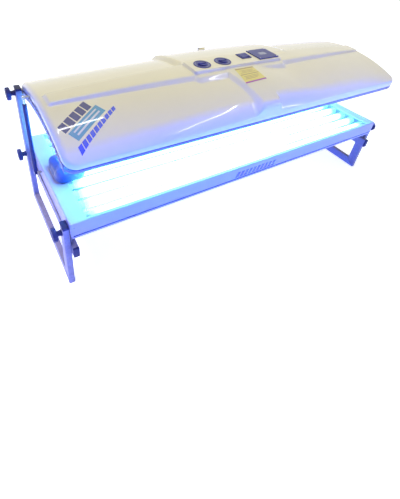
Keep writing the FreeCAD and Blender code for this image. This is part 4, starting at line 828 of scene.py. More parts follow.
class HoodForm:
    """Heights of the moulded hood, worked out from the plain shell in the frame."""

    def __init__(self):
        low, high = box_of("hood_shell")
        self.half_length, self.half_width = (high[0] - low[0]) / 2, (high[1] - low[1]) / 2
        self.middle = (high[1] + low[1]) / 2
        self.island_top = float(high[2])
        self.crown_top = self.island_top - 25 * MM
        self.spine_top = self.island_top - 7 * MM
        self.spine_middle = self.middle - 10 * MM
        plate_low, plate_high = box_of("control_plate")
        self.island_near, self.island_far = plate_low[0] - 4 * MM, plate_high[0] + 4 * MM
        self.island_half = (plate_high[1] - plate_low[1]) / 2 + 4 * MM
        self.terrace_half = self.island_half + 25 * MM
        self.spine_end, self.spine_end_half = self.half_length - 28 * MM, 39 * MM
        self.cross_radius, self.arch_radius = 830 * MM, 846 * MM
        self.arch_top = float(box_of("hood_end_plates")[1][2]) + 5 * MM
        self.island_x = (self.island_far + self.island_near) / 2
        self.island_half_x = (self.island_far - self.island_near) / 2

    def bow(self, x, half, drop):
        """Fall toward the ends of a bow that drops by a given amount at half its length."""
        radius = half * half / (2 * drop) + drop / 2
        return radius - np.sqrt(np.maximum(radius * radius - x * x, 0))

    def arch(self, y):
        """Fall of the arch toward the front and the rear."""
        across = np.clip(y - self.middle, -0.4, 0.4)
        return self.cross_radius - np.sqrt(self.cross_radius ** 2 - across * across)

    def crown(self, x, y):
        """The plain arched surface."""
        return self.crown_top - self.bow(x, self.half_length, 25 * MM) - self.arch(y)

    def spine_mask(self, x, y):
        """Share of the raised spine and of the terrace round the island."""
        away = np.abs(y - self.spine_middle)
        end = np.where(x < 0, -self.island_near, self.island_far)
        taper = np.clip((np.abs(x) - end) / (self.spine_end - end), 0, 1)
        half = self.island_half + (self.spine_end_half - self.island_half) * taper
        spine = 1 - ramp(away, half - 5 * MM, half + (8 + 18 * (1 - taper)) * MM)
        spine = spine * (1 - ramp(np.abs(x), self.spine_end - 14 * MM, self.spine_end + 2 * MM))
        reach = plan_distance(x - self.island_x, y - self.spine_middle, self.island_half_x,
                              self.terrace_half, 20 * MM)
        return np.maximum(spine, 1 - ramp(reach, -8 * MM, 25 * MM))

    def island_mask(self, x, y):
        """Share of the flat island that carries the control plate."""
        inset = 1.5 * MM
        reach = plan_distance(x - self.island_x, y - self.spine_middle, self.island_half_x - inset,
                              self.island_half - inset, 16 * MM)
        return 1 - ramp(reach, -0.5 * MM, 3.0 * MM)

    def saddle_mask(self, x, y):
        """Share of the saddle that crosses the hood, wider behind than in front."""
        forward = np.clip((-102 * MM - y) / (234 * MM), 0, 1)
        near_low = (-138 + 20 * np.minimum(1.0, 2.2 * forward) + 8 * forward) * MM
        front = ramp(x, near_low, (-108 + 48 * forward) * MM)
        front = front * (1 - ramp(x, 22 * MM, (222 + 180 * forward) * MM))
        back = np.clip((y - 70 * MM) / (254 * MM), 0, 1)
        rear = ramp(x, -312 * MM, -266 * MM)
        far_high = (311 + 39 * (1 - back)) * MM
        rear = rear * (1 - ramp(x, far_high, 440 * MM))
        behind = ramp(y, -50 * MM, 20 * MM)
        return front * (1 - behind) + rear * behind

    def top(self, x, y):
        """The moulded surface, before its edges roll over."""
        crown = self.crown(x, y)
        saddle = sizes().saddle_rise * self.saddle_mask(x, y)
        spine_level = self.spine_top - self.bow(x, self.spine_end, 29 * MM) - self.arch(y)
        spine = np.maximum(spine_level - crown, 0) * self.spine_mask(x, y)
        blend = 3 * MM
        raised = np.maximum(soft_max(saddle, spine, blend) - blend / 4, 0)
        level = crown + raised - self.front_roll(x, y)
        island = self.island_mask(x, y)
        return level * (1 - island) + self.island_top * island

    def lip(self, x, y, out_x, out_y):
        """Radius of the rolled edge: by the way it faces, tighter where the saddle crosses it."""
        saddle, size = self.saddle_mask(x, y), sizes()
        block = saddle * (1 - ramp(x, 22 * MM, 34 * MM))
        front = size.front_fold + (size.block_lip - size.front_fold) * block
        rear = size.lip_radius + (size.saddle_lip_radius - size.lip_radius) * saddle
        side = np.where(y < self.middle, front, rear)
        return size.end_radius * out_x ** 2 + side * out_y ** 2

    def front_roll(self, x, y):
        """Fall of the front's easy roll, down to a narrow wall above the gasket."""
        edge = self.middle - self.half_width
        wall = (6 + 8 * ramp(x, -420 * MM, -110 * MM) + 4 * ramp(x, 30 * MM, 400 * MM)) * MM
        level = self.crown(x, edge) + sizes().saddle_rise * self.saddle_mask(x, edge)
        fall = level - self.trim(x, edge) - sizes().front_fold - wall
        curve = 0.8 * np.clip(1 - (y - edge) / (64 * MM), 0, 1)
        share = (1 - np.sqrt(1 - curve * curve)) / 0.4
        block = ramp(x, -128 * MM, -72 * MM) * (1 - ramp(x, 18 * MM, 38 * MM))
        return np.maximum(fall, 0) * share * (1 - block)

    def trim(self, x, y):
        """Height of the shell's lower edge."""
        across = y - self.middle
        return self.arch_top - self.arch_radius + math.sqrt(self.arch_radius ** 2 - across * across)

    def surface(self, x, y):
        """Height of the finished surface at any place well inside the edge."""
        depth = -plan_distance(x, y - self.middle, self.half_length, self.half_width,
                               sizes().hood_corner)
        toward_x = self.half_length - np.abs(x) < self.half_width - np.abs(y - self.middle)
        out_x = np.where(toward_x, np.sign(x), 0.0)
        out_y = np.where(toward_x, 0.0, np.sign(y - self.middle))
        radius = self.lip(x, y, out_x, out_y)
        return rolled_edge(self.top, x, y, out_x, out_y, depth, radius)


def mixed(near_low, near_high, far_low, far_high, u, v):
    """Value at the shares u and v between four corners."""
    return (near_low * (1 - u) + near_high * u) * (1 - v) + (far_low * (1 - u) + far_high * u) * v


def film_patch(name, form, corners, lift, step=4 * MM):
    """A thin film on the hood over a four-cornered plan, following the surface."""
    corners = [np.array(c) * MM for c in corners]
    count_u = max(3, int(np.linalg.norm(corners[1] - corners[0]) / step))
    count_v = max(3, int(np.linalg.norm(corners[2] - corners[0]) / step))
    u, v = np.meshgrid(np.linspace(0, 1, count_u), np.linspace(0, 1, count_v), indexing="ij")
    x, y = (mixed(*(corner[k] for corner in corners), u, v) for k in (0, 1))
    z = form.surface(x, y) + lift
    points = np.stack([x, y, z], -1).reshape(-1, 3)
    faces = [(i * count_v + j, (i + 1) * count_v + j,
              (i + 1) * count_v + j + 1, i * count_v + j + 1)
             for i in range(count_u - 1) for j in range(count_v - 1)]
    obj = object_from(name, points, faces)
    if obj.data.polygons[0].normal.z < 0:
        obj.data.flip_normals()
    return obj


class BED_OT_hood_shell(bpy.types.Operator):
    """Moulded hood with its spine, terrace, island and saddle"""

    bl_idname = "bed.hood_shell"
    bl_label = "Hood shell"

    def execute(self, context):
        form, corner = HoodForm(), sizes().hood_corner
        feature_x = graded([-911, -318, -240, -150, -52, 14, 46, 236, 280, 460, 911],
                           [9, 2.4, 6, 2.4, 6, 2.2, 5.5, 2.4, 7, 9])
        ends = [side * line for side in (-1, 1) for line in (912.5, 914, 915.5, 917, 919, 922)]
        lines_x = sorted(set(np.round(feature_x + ends, 3)))
        feature_y = graded([-290, -262, -134, -48, 14, 100, 200, 290], [3, 5, 2.2, 6, 2.2, 6, 7])
        xs = sheet_grid(form.half_length, corner, np.array(lines_x) * MM, EDGE_STEPS)
        ys = sheet_grid(form.half_width, corner, np.array(feature_y) * MM - form.middle, EDGE_STEPS)
        x, y, out_x, out_y, depth = rounded_plan(xs, ys, form.half_length, form.half_width,
                                                 corner)
        y = y + form.middle
        radius = form.lip(x, y, out_x, out_y)
        z = rolled_edge(form.top, x, y, out_x, out_y, depth, radius)
        shell = sheet_mesh("moulded_hood", x, y, z, form.trim, wall_rows=5)
        wall = shell.modifiers.new("Wall", "SOLIDIFY")
        wall.thickness = sizes().shell_wall
        wall.offset = -1.0
        finished(shell, "hood", "ivory_plastic", "hood_plastic", "hood_shell")
        return {"FINISHED"}


# Plans of the hood's films, corners in mm: near low, near high, far low, far high.
NAVY_ROW = ((-935, -185), (-915, -220), (-798, -73), (-778, -115))
TEAL_PANEL = ((-908, -224), (-884, -264), (-765, -112), (-742, -156))
BLUE_ROW = ((-897, -288), (-892, -316), (-702, -139), (-699, -158))
LABEL = ((-74, -90), (37, -90), (-89, -204), (41, -197))

# Shares of a plan that its bars take: low, high, near, far.
WHITE_BARS = ((0.22, 0.36, 0.10, 0.90), (0.56, 0.72, 0.10, 0.90))
LABEL_STRIPE = ((0.0, 1.0, 0.92, 1.0),)
LABEL_LINES = ((0.0, 1.0, 0.02, 0.10), (0.14, 0.86, 0.19, 0.215), (0.20, 0.80, 0.27, 0.295),
               (0.12, 0.88, 0.35, 0.375), (0.04, 0.96, 0.46, 0.50), (0.14, 0.86, 0.59, 0.615),
               (0.16, 0.84, 0.67, 0.695), (0.12, 0.70, 0.75, 0.775))


def within(corners, low, high, near, far):
    """Corners of a share of a four-cornered plan."""
    corners = [np.array(c, float) for c in corners]
    return [mixed(*corners, u, v)
            for u, v in ((low, near), (high, near), (low, far), (high, far))]


class BED_OT_hood_films(bpy.types.Operator):
    """Bare coloured bands on the hood's near corner and a bare label patch beside the island"""

    bl_idname = "bed.hood_films"
    bl_label = "Hood films"

    def execute(self, context):
        form, lift = HoodForm(), 0.35 * MM
        films = (
            (self.blocks("navy_blocks", form, NAVY_ROW, 5, 0.10, lift), "film_navy"),
            (film_patch("teal_panel", form, TEAL_PANEL, lift), "film_teal"),
            (self.bars("white_bars", form, TEAL_PANEL, WHITE_BARS, lift * 2), "film_white"),
            (self.blocks("blue_blocks", form, BLUE_ROW, 10, 0.04, lift), "film_blue"),
            (film_patch("label_patch", form, LABEL, lift), "label_yellow"),
            (self.bars("label_stripe", form, LABEL, LABEL_STRIPE, lift * 2), "label_magenta"),
            (self.bars("label_lines", form, LABEL, LABEL_LINES, lift * 2), "label_ochre"))
        for piece, look in films:
            finished(piece, "hood", look, "hood_plastic")
        return {"FINISHED"}

    def bars(self, name, form, corners, shares, lift):
        """Films over shares of a four-cornered plan."""
        return joined(name, [film_patch("bar", form, within(corners, *share), lift)
                             for share in shares])

    def blocks(self, name, form, corners, count, slant, lift, gap=0.16):
        """A row of plain slanted blocks along a four-cornered plan."""
        pieces = []
        for k in range(count):
            ends = within(corners, 0, 1, k / count, (k + 1 - gap) / count)
            low_near, high_near, low_far, high_far = ends
            shift = (low_far - low_near) * slant * count / (1 - gap) * gap
            plan = (low_near + shift, high_near, low_far + shift, high_far)
            pieces.append(film_patch("block", form, plan, lift, 3 * MM))
        return joined(name, pieces)


def outline_path(form, corner, turn, closed=False):
    """Plan places and ways out along the hood's edge, round its front or all round it."""
    places = []

    def bend(side_x, side_y, low, high):
        for angle in np.radians(np.linspace(low, high, 11)):
            across, out = side_x * math.sin(angle), side_y * math.cos(angle)
            places.append((side_x * (form.half_length - corner) + corner * across,
                           side_y * (form.half_width - corner) + corner * out, across, out))

    def run(side_x):
        for share in np.linspace(-1, 1, 33)[1:-1]:
            places.append((side_x * form.half_length, side_x * share * (form.half_width - corner),
                           side_x, 0.0))

    bend(-1, -1, turn, 0)
    bend(1, -1, 0, turn)
    if closed:
        run(1)
        bend(1, 1, turn, 0)
        bend(-1, 1, 0, turn)
        run(-1)
    return places


def swept(name, form, section, places, height, closed, flip=1.0, keep_out=0.0):
    """A section of (inset, level) carried along the hood's edge, at the level height gives."""
    points = []
    for x, y, out_x, out_y in places:
        for inset, level in section:
            across = y - out_y * inset
            if keep_out and abs(across) < keep_out:
                across = math.copysign(keep_out, across)
            points.append((x - out_x * inset, flip * across + form.middle, level + height(across)))
    rows, count = len(places), len(section)
    faces = stacked_rings(rows, count, closed)
    if not closed:
        faces += [tuple(range(count)), tuple(range((rows - 1) * count, rows * count))]
    work = bmesh.new()
    made = [work.verts.new(point) for point in points]
    for face in faces:
        work.faces.new([made[k] for k in face])
    return object_of(name, work, smooth_angle=35)


class BED_OT_hood_trim(bpy.types.Operator):
    """Gasket, end plates, sockets, rails, brackets and cable cover"""

    bl_idname = "bed.hood_trim"
    bl_label = "Hood trim"

    def execute(self, context):
        form, corner = HoodForm(), sizes().hood_corner
        self.gasket(form, corner)
        for name, node, flip in (("front_rail_fold", "hood_front_rail", 1.0),
                                 ("rear_rail_fold", "hood_rear_rail", -1.0)):
            self.rail(form, corner, name, node, flip)
        dress_all(("hood_end_plates", "plate_powder_coat", 0.0004),
                  ("socket_rings", "cream_moulding", 0.0005),
                  ("hinge_brackets", "zinc_plating", 0.0006),
                  ("hood_cable_cover", "ivory_plastic", 0.0025, 4),
                  ("hood_cable_gland", "black_moulding", 0.0008))
        return {"FINISHED"}

    def gasket(self, form, corner):
        """Rubber strip with a soft outer edge, round the shell's rounded corners."""
        high, width = 5 * MM, 14 * MM
        section = [(0.6 * MM, 0.0), (0.1 * MM, -1.0 * MM), (0.1 * MM, -3.6 * MM),
                   (0.7 * MM, -4.6 * MM), (1.8 * MM, -high), (width, -high), (width, 0.0)]
        places = outline_path(form, corner, 90, closed=True)
        strip = swept("edge_strip", form, section, places,
                      lambda across: form.trim(0, across + form.middle), closed=True)
        finished(strip, "hood", "edge_rubber", "seal_rubber", "hood_gasket")

    def rail(self, form, corner, name, node, flip):
        """Folded rail whose ends turn in round the hood's corners to meet the end plates."""
        low, high = box_of(node)
        foot, top = float(low[2]), float(high[2])
        lip, bend, steel = foot + 17.6 * MM, 11 * MM, 1.5 * MM
        inner, end_plate = 29.5 * MM, 298.6 * MM
        section = [(2 * MM, lip), (2 * MM, foot + bend), (4.2 * MM, foot + bend - 5 * MM),
                   (bend - 4 * MM, foot + 1.6 * MM), (bend, foot), (inner - 1 * MM, foot),
                   (inner, foot + 1 * MM), (inner, top), (inner - steel, top),
                   (inner - steel, foot + steel), (bend + 0.6 * MM, foot + steel),
                   (3.5 * MM, foot + bend + 0.6 * MM), (3.5 * MM, lip)]
        places = outline_path(form, corner, 74)
        fold = swept(name, form, section, places, lambda across: 0.0, closed=False, flip=flip,
                     keep_out=end_plate)
        finished(fold, "hood", "rail_powder_coat", "frame_paint", node)


# ---------------------------------------------------------------- bench

class BED_OT_bench_surround(bpy.types.Operator):
    """Pressed surround of the bench: dished rim, long faces and end faces"""

    bl_idname = "bed.bench_surround"
    bl_label = "Bench surround"

    def execute(self, context):
        low, high = box_of("bench_surround")
        half_x, half_y, top = float(high[0]), float(high[1]), float(high[2])
        rim_x, rim_y, dish = 70 * MM, 16 * MM, 12 * MM
        end_foot = top - 45 * MM
        dish_radius = half_y ** 2 / (2 * dish) + dish / 2
        rim_fall = math.sqrt(dish_radius ** 2 - half_y ** 2)
        corner, roll, lip = sizes().rim_corner, sizes().rim_radius, 1.5 * MM

        def dished(x, y):
            across = np.clip(np.abs(y), 0, half_y)
            level = top + rim_fall - np.sqrt(dish_radius ** 2 - across ** 2)
            inner = plan_distance(x, y, half_x - rim_x, half_y - rim_y, 1 * MM)
            off = np.clip(lip - inner, 0, lip)
            return level - (lip - np.sqrt(lip ** 2 - off ** 2))

        steps = np.array([0, 0.03, 0.12, 0.3, 0.6, 1.0, 1.5, 2.1, 2.8, 3.6, 4.6, 5.6, 7]) * MM
        cut_x, cut_y = half_x - rim_x, half_y - rim_y
        fine = [0, 0.05 * MM, 0.3 * MM, 0.8 * MM, 1.5 * MM]

        def lines(cut, count, outside):
            """Grid lines across the opening, close at its edge and given ones beyond."""
            beyond = [cut + f for f in fine] + list(outside)
            every = list(np.linspace(-cut, cut, count)) + beyond + [-line for line in beyond]
            return sorted(set(np.round(every, 6)))

        lines_x = lines(cut_x, 61, np.linspace(cut_x + 8 * MM, half_x - 12 * MM, 6))
        lines_y = lines(cut_y, 41, [cut_y + 4 * MM])
        xs = sheet_grid(half_x, corner, lines_x, steps)
        ys = sheet_grid(half_y, corner, lines_y, steps)
        x, y, out_x, out_y, depth = rounded_plan(xs, ys, half_x, half_y, corner)
        z = rolled_edge(dished, x, y, out_x, out_y, depth, roll)

        def foot(across_x, across_y):
            return float(low[2]) if abs(across_y) > half_y - corner * 0.7 else end_foot

        rim = sheet_mesh("pressed_surround", x, y, z, foot, wall_rows=6,
                         opening=(cut_x, cut_y, 5 * MM))
        wall = rim.modifiers.new("Wall", "SOLIDIFY")
        wall.thickness = 1.6 * MM
        wall.offset = -1.0
        finished(rim, "root", "bench_powder_coat", "bench_paint", "bench_surround")
        # Painted shadow: dark strips in the grooves under the long faces.
        self.seals(half_x, half_y, float(low[2]))
        self.blocks(half_y)
        return {"FINISHED"}

    # These seals are painted shadow, dark strips where the grooves under the long faces fall in
    # shade.
    def seals(self, half_x, half_y, foot):
        """Dark strips in the grooves under the long faces: painted shadow where the grooves fall in
        shade.
        """
        strips = []
        for side in (-1, 1):
            inner, outer = side * (half_y - 5 * MM), side * (half_y + 0.5 * MM)
            outline = rectangle(inner, outer, foot - 2.5 * MM, foot + 4.0 * MM)
            end = half_x - 9 * MM
            strips.append(prism("strip", outline, -end, end, soften=0.6 * MM))
        finished(joined("groove_shadow_strips", strips), "root", "edge_rubber", "seal_rubber")

    def blocks(self, half_y):
        """A plain row of slanted colour blocks on the front face."""
        low_x, high_x, low_z, high_z = (-150 * MM, 112 * MM, 307 * MM, 340 * MM)
        count, slant = 10, 12 * MM
        step = (high_x - low_x) / count
        points, faces = [], []
        for k in range(count):
            start, end = low_x + k * step, low_x + (k + 0.78) * step
            for x, z in ((start, low_z), (end, low_z), (end + slant, high_z),
                         (start + slant, high_z)):
                points.append((x, -half_y - 0.35 * MM, z))
            faces.append(tuple(range(4 * k, 4 * k + 4)))
        row = object_from("face_blocks", points, faces, smooth=False)
        finished(row, "root", "film_blue", "bench_paint")


class BED_OT_bench_box(bpy.types.Operator):
    """Tray, gear box, end panels, bushes and gland of the bench, and both halves' gear"""

    bl_idname = "bed.bench_box"
    bl_label = "Bench box"

    def execute(self, context):
        dress_all(("bench_tray", "bench_powder_coat", 0.0009, 3),
                  ("gear_box", "bench_powder_coat", 0.0012, 3),
                  ("bench_end_panels", "bench_powder_coat", 0.0004),
                  ("clamp_bushes", "zinc_plating", 0.0005),
                  ("surround_screws", "zinc_plating", 0.0004),
                  ("mains_gland", "black_moulding", 0.0015, 3),
                  ("bench_ballasts", "ballast_lacquer", 0.001),
                  ("bench_starters", "spun_aluminium", 0.001),
                  ("hood_ballasts", "ballast_lacquer", 0.001))
        return {"FINISHED"}


# ---------------------------------------------------------------- lamps

def solids_of(node):
    """Boxes of a CAD node's separate solids, as (low, high) arrays."""
    work = bmesh.new()
    work.from_mesh(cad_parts[node].data)
    bmesh.ops.remove_doubles(work, verts=work.verts, dist=1e-6)
    left, boxes = set(work.verts), []
    while left:
        seed = left.pop()
        stack, found = [seed], [seed]
        while stack:
            for edge in stack.pop().link_edges:
                for vert in edge.verts:
                    if vert in left:
                        left.remove(vert)
                        stack.append(vert)
                        found.append(vert)
        spots = np.array([v.co for v in found])
        boxes.append((spots.min(0), spots.max(0)))
    work.free()
    return boxes


class BED_OT_lamps(bpy.types.Operator):
    """Lamp glass with drawn-in ends, spun caps, lampholders and reflectors of both halves"""

    bl_idname = "bed.lamps"
    bl_label = "Lamps"

    def execute(self, context):
        for half, body in (("bench", "root"), ("hood", "hood")):
            self.glass(half, body)
            self.caps(half, body)
            dress_all((f"{half}_lampholders", "white_moulding", 0.0008),
                      (f"{half}_reflector", "reflector_sheet", 0.0),
                      (f"{half}_acrylic", "clear_acrylic", 0.0008))
        return {"FINISHED"}

    def glass(self, half, body):
        """Round glass tubes, drawn in a little where they enter their caps."""
        tubes = []
        for low, high in solids_of(f"{half}_lamp_tubes"):
            radius, end = float(high[2] - low[2]) / 2, float(high[0])
            middle = (low + high) / 2
            neck = radius - 1.6 * MM
            half_profile = [(neck, end), (neck, end - 6 * MM), (radius, end - 14 * MM),
                            (radius, end - 90 * MM), (radius, end / 2)]
            profile = [(reach, -level) for reach, level in half_profile] + [(radius, 0.0)]
            profile += half_profile[::-1]
            tubes.append(turned("tube", profile, (0, middle[1], middle[2]), (1, 0, 0), around=28))
        piece = joined(f"{half}_glass_tubes", tubes)
        finished(piece, body, "glowing_glass", "lamp_glass", f"{half}_lamp_tubes")

    def caps(self, half, body):
        """Spun caps with a rolled rim."""
        caps = []
        for low, high in solids_of(f"{half}_lamp_caps"):
            radius, middle = float(high[2] - low[2]) / 2, (low + high) / 2
            way = 1 if middle[0] > 0 else -1
            inner, depth = low[0] if way > 0 else high[0], high[0] - low[0]
            profile = [(radius - 0.6 * MM, 0.0), (radius, 0.8 * MM), (radius, 2.4 * MM),
                       (radius - 0.8 * MM, 3.4 * MM), (radius - 0.8 * MM, depth - 2 * MM),
                       (radius - 2.4 * MM, depth)]
            start = (inner, middle[1], middle[2])
            caps.append(turned("cap", profile, start, (way, 0, 0), around=28))
        piece = joined(f"{half}_spun_caps", caps)
        finished(piece, body, "spun_aluminium", "lamp_cap_metal", f"{half}_lamp_caps")


# ---------------------------------------------------------------- end frames

TUBE = 50 * MM  # width of the frame tube, across the bed


def weld_bead(name, start, end, width, seed):
    """A rippled bead laid along a joint between two points."""
    start, end = Vector(start), Vector(end)
    along = (end - start).normalized()
    side = along.orthogonal().normalized()
    across = along.cross(side)
    distance = (end - start).length
    spacing, ripple_length = 0.7 * MM, 1.7 * MM
    count, around = max(8, int(distance / spacing)), 8
    points = []
    for row in range(count + 1):
        t = row / count
        ripple = abs(math.sin(t * distance / ripple_length + seed)) * 0.35
        taper = min(1.0, 8 * t, 8 * (1 - t))
        reach = width * (0.75 + ripple) * max(taper, 0.15)
        drift = across * (width * 0.25 * math.sin(seed + t * 9.0))
        for step in range(around):
            turn = 2 * math.pi * step / around
            points.append(start.lerp(end, t) + drift + side * (reach * math.cos(turn))
                          + across * (reach * math.sin(turn)))
    return object_from(name, points, stacked_rings(count + 1, around))


class BED_OT_end_frames(bpy.types.Operator):
    """Mitred tube frames at both ends, with their cross tubes, caps and weld beads"""

    bl_idname = "bed.end_frames"
    bl_label = "End frames"

    def execute(self, context):
        for end in ENDS:
            self.tubes(end)
            self.beads(end)
        self.cross_tubes()
        self.caps()
        return {"FINISHED"}

    def tubes(self, end):
        """Posts and floor bar with rounded corners and mitred joints."""
        soft = sizes().tube_radius
        for which in ("rear", "front"):
            low, high = box_of(f"{end}_{which}_post")
            face, inward = (high[1], -TUBE) if which == "rear" else (low[1], TUBE)
            inner = face + inward
            outline = [(face, 0.0), (inner, TUBE), (inner, high[2]), (face, high[2])]
            post = prism(f"{end}_{which}_upright", outline, low[0], high[0], soften=soft,
                         keep=(0, 2))
            finished(post, "root", "frame_powder_coat", "frame_paint", f"{end}_{which}_post")
        low, high = box_of(f"{end}_floor_bar")
        outline = [(high[1], 0.0), (high[1] - TUBE, TUBE), (low[1] + TUBE, TUBE), (low[1], 0.0)]
        bar = prism(f"{end}_floor_tube", outline, low[0], high[0], soften=soft, keep=(0, 2))
        finished(bar, "root", "frame_powder_coat", "frame_paint", f"{end}_floor_bar")

    def beads(self, end):
        """Beads along the mitres and where the cross tube meets the posts."""
        low, high = box_of(f"{end}_floor_bar")
        cross = [b for b in solids_of("cross_tubes") if (b[0][0] < 0) == (end == "near")][0]
        inner_x = high[0] if end == "near" else low[0]
        runs = []
        for face, inner in ((high[1], high[1] - TUBE), (low[1], low[1] + TUBE)):
            runs += [((level, face, 3 * MM), (level, inner, TUBE - 1 * MM), face * 40 + level)
                     for level in (low[0], high[0])]
            runs.append(((low[0] + 3 * MM, inner, TUBE), (high[0] - 3 * MM, inner, TUBE),
                         face * 30))
            runs += [((inner_x, face, height), (inner_x, inner, height), height * 70)
                     for height in (cross[0][2], cross[1][2])]
        piece = joined(f"{end}_weld_beads", [weld_bead("bead", start, stop, sizes().bead, seed)
                                             for start, stop, seed in runs])
        finished(piece, "root", "frame_powder_coat", "frame_paint")

    def cross_tubes(self):
        """Cross tubes that carry the bench."""
        bars = []
        for low, high in solids_of("cross_tubes"):
            outline = rectangle(low[1], high[1], low[2], high[2])
            bars.append(prism("cross", outline, low[0], high[0], soften=sizes().tube_radius))
        piece = joined("cross_bars", bars)
        finished(piece, "root", "frame_powder_coat", "frame_paint", "cross_tubes")

    def caps(self):
        """Domed plastic caps in the open tube ends."""
        caps, thick = [], 9 * MM
        for low, high in solids_of("tube_caps"):
            if high[2] - low[2] < 30 * MM:
                low[2] = high[2] - thick
                caps.append(self.dome(low, high, 2))
            else:
                if high[1] > 0:
                    low[1] = high[1] - thick
                else:
                    high[1] = low[1] + thick
                caps.append(self.dome(low, high, 1))
        piece = joined("end_caps", caps)
        finished(piece, "root", "black_moulding", "black_plastic", "tube_caps")

    def dome(self, low, high, axis):
        """A cap head with rounded outer edges."""
        work = bmesh.new()
        bmesh.ops.create_cube(work, size=1.0)
        for vert in work.verts:
            for k in range(3):
                vert.co[k] = low[k] if vert.co[k] < 0 else high[k]
        outer = high[axis] if low[axis] + high[axis] > 0 else low[axis]
        chosen = [e for e in work.edges if any(abs(v.co[axis] - outer) < 1e-6 for v in e.verts)]
        bmesh.ops.bevel(work, geom=chosen, offset=3.2 * MM, segments=4, profile=0.5, affect="EDGES")
        return object_of("dome", work, smooth_angle=50)


# ---------------------------------------------------------------- knobs

class BED_OT_knobs(bpy.types.Operator):
    """Lobed knobs of the hinge and of the clamps"""

    bl_idname = "bed.knobs"
    bl_label = "Knobs"

    def execute(self, context):
        for end in ENDS:
            for which in ("hinge", "rear", "front"):
                self.knob(end, which)
        return {"FINISHED"}

    def knob(self, end, which):
        """One knob: waisted neck, scalloped head with a dished face, and its screw."""
        node = f"{end}_{which}_knob"
        low, high = box_of(node)
        way = -1 if end == "near" else 1
        middle = (low + high) / 2
        radius, neck, head = float(high[2] - low[2]) / 2, 20 * MM, 18 * MM
        screw = float(high[0] - low[0]) - neck - head
        face = (high[0] if way > 0 else low[0]) - way * (neck + head)
        start = (face, middle[1], middle[2])
        edge = 5 * MM
        arc = radius - edge
        rim = [(arc + edge * math.sin(a), neck + edge - edge * math.cos(a))
               for a in np.linspace(0, math.pi / 2, 6)]
        rim += [(arc + edge * math.cos(a), neck + head - edge + edge * math.sin(a))
                for a in np.linspace(0, math.pi / 2, 7)]
        profile = [(13.5 * MM, 0.0), (12.4 * MM, 5 * MM), (10.8 * MM, 12 * MM),
                   (11.5 * MM, 17 * MM), (15 * MM, neck)] + rim
        profile += [(18 * MM, neck + head), (16 * MM, neck + head - 0.9 * MM),
                    (10 * MM, neck + head - 1.4 * MM), (9.2 * MM, neck + head - 0.2 * MM),
                    (4 * MM, neck + head)]
        body = turned("grip", profile, start, (way, 0, 0), around=120, scallops=10,
                      depth=sizes().knob_scallop, cut_from=17 * MM)
        finished(body, node, "black_moulding", "black_plastic", node)
        body.name = f"{node}_grip"
        crest, root, pitch = 4.9 * MM, 4.2 * MM, 1.5 * MM
        thread = [(crest, -screw)]
        count = int(screw / pitch)
        for k in range(count):
            base = -screw + k * screw / count
            thread += [(root, base + 0.35 * MM), (crest, base + 1.0 * MM)]
        thread.append((crest, 0.0))
        stud = turned(f"{node}_screw", thread, start, (way, 0, 0), around=24)
        finished(stud, node, "zinc_plating", "zinc_steel")


# ---------------------------------------------------------------- gas struts

class BED_OT_struts(bpy.types.Operator):
    """Gas cylinders, rods and their studs"""

    bl_idname = "bed.struts"
    bl_label = "Gas struts"

    def execute(self, context):
        for end in ENDS:
            dress_all((f"{end}_strut_cylinder", "black_lacquer", 0.0008),
                      (f"{end}_strut_rod", "chromed_rod", 0.0004))
        dress_all(("strut_foot_studs", "zinc_plating", 0.0005),
                  ("strut_head_studs", "zinc_plating", 0.0005))
        return {"FINISHED"}


# ---------------------------------------------------------------- controls

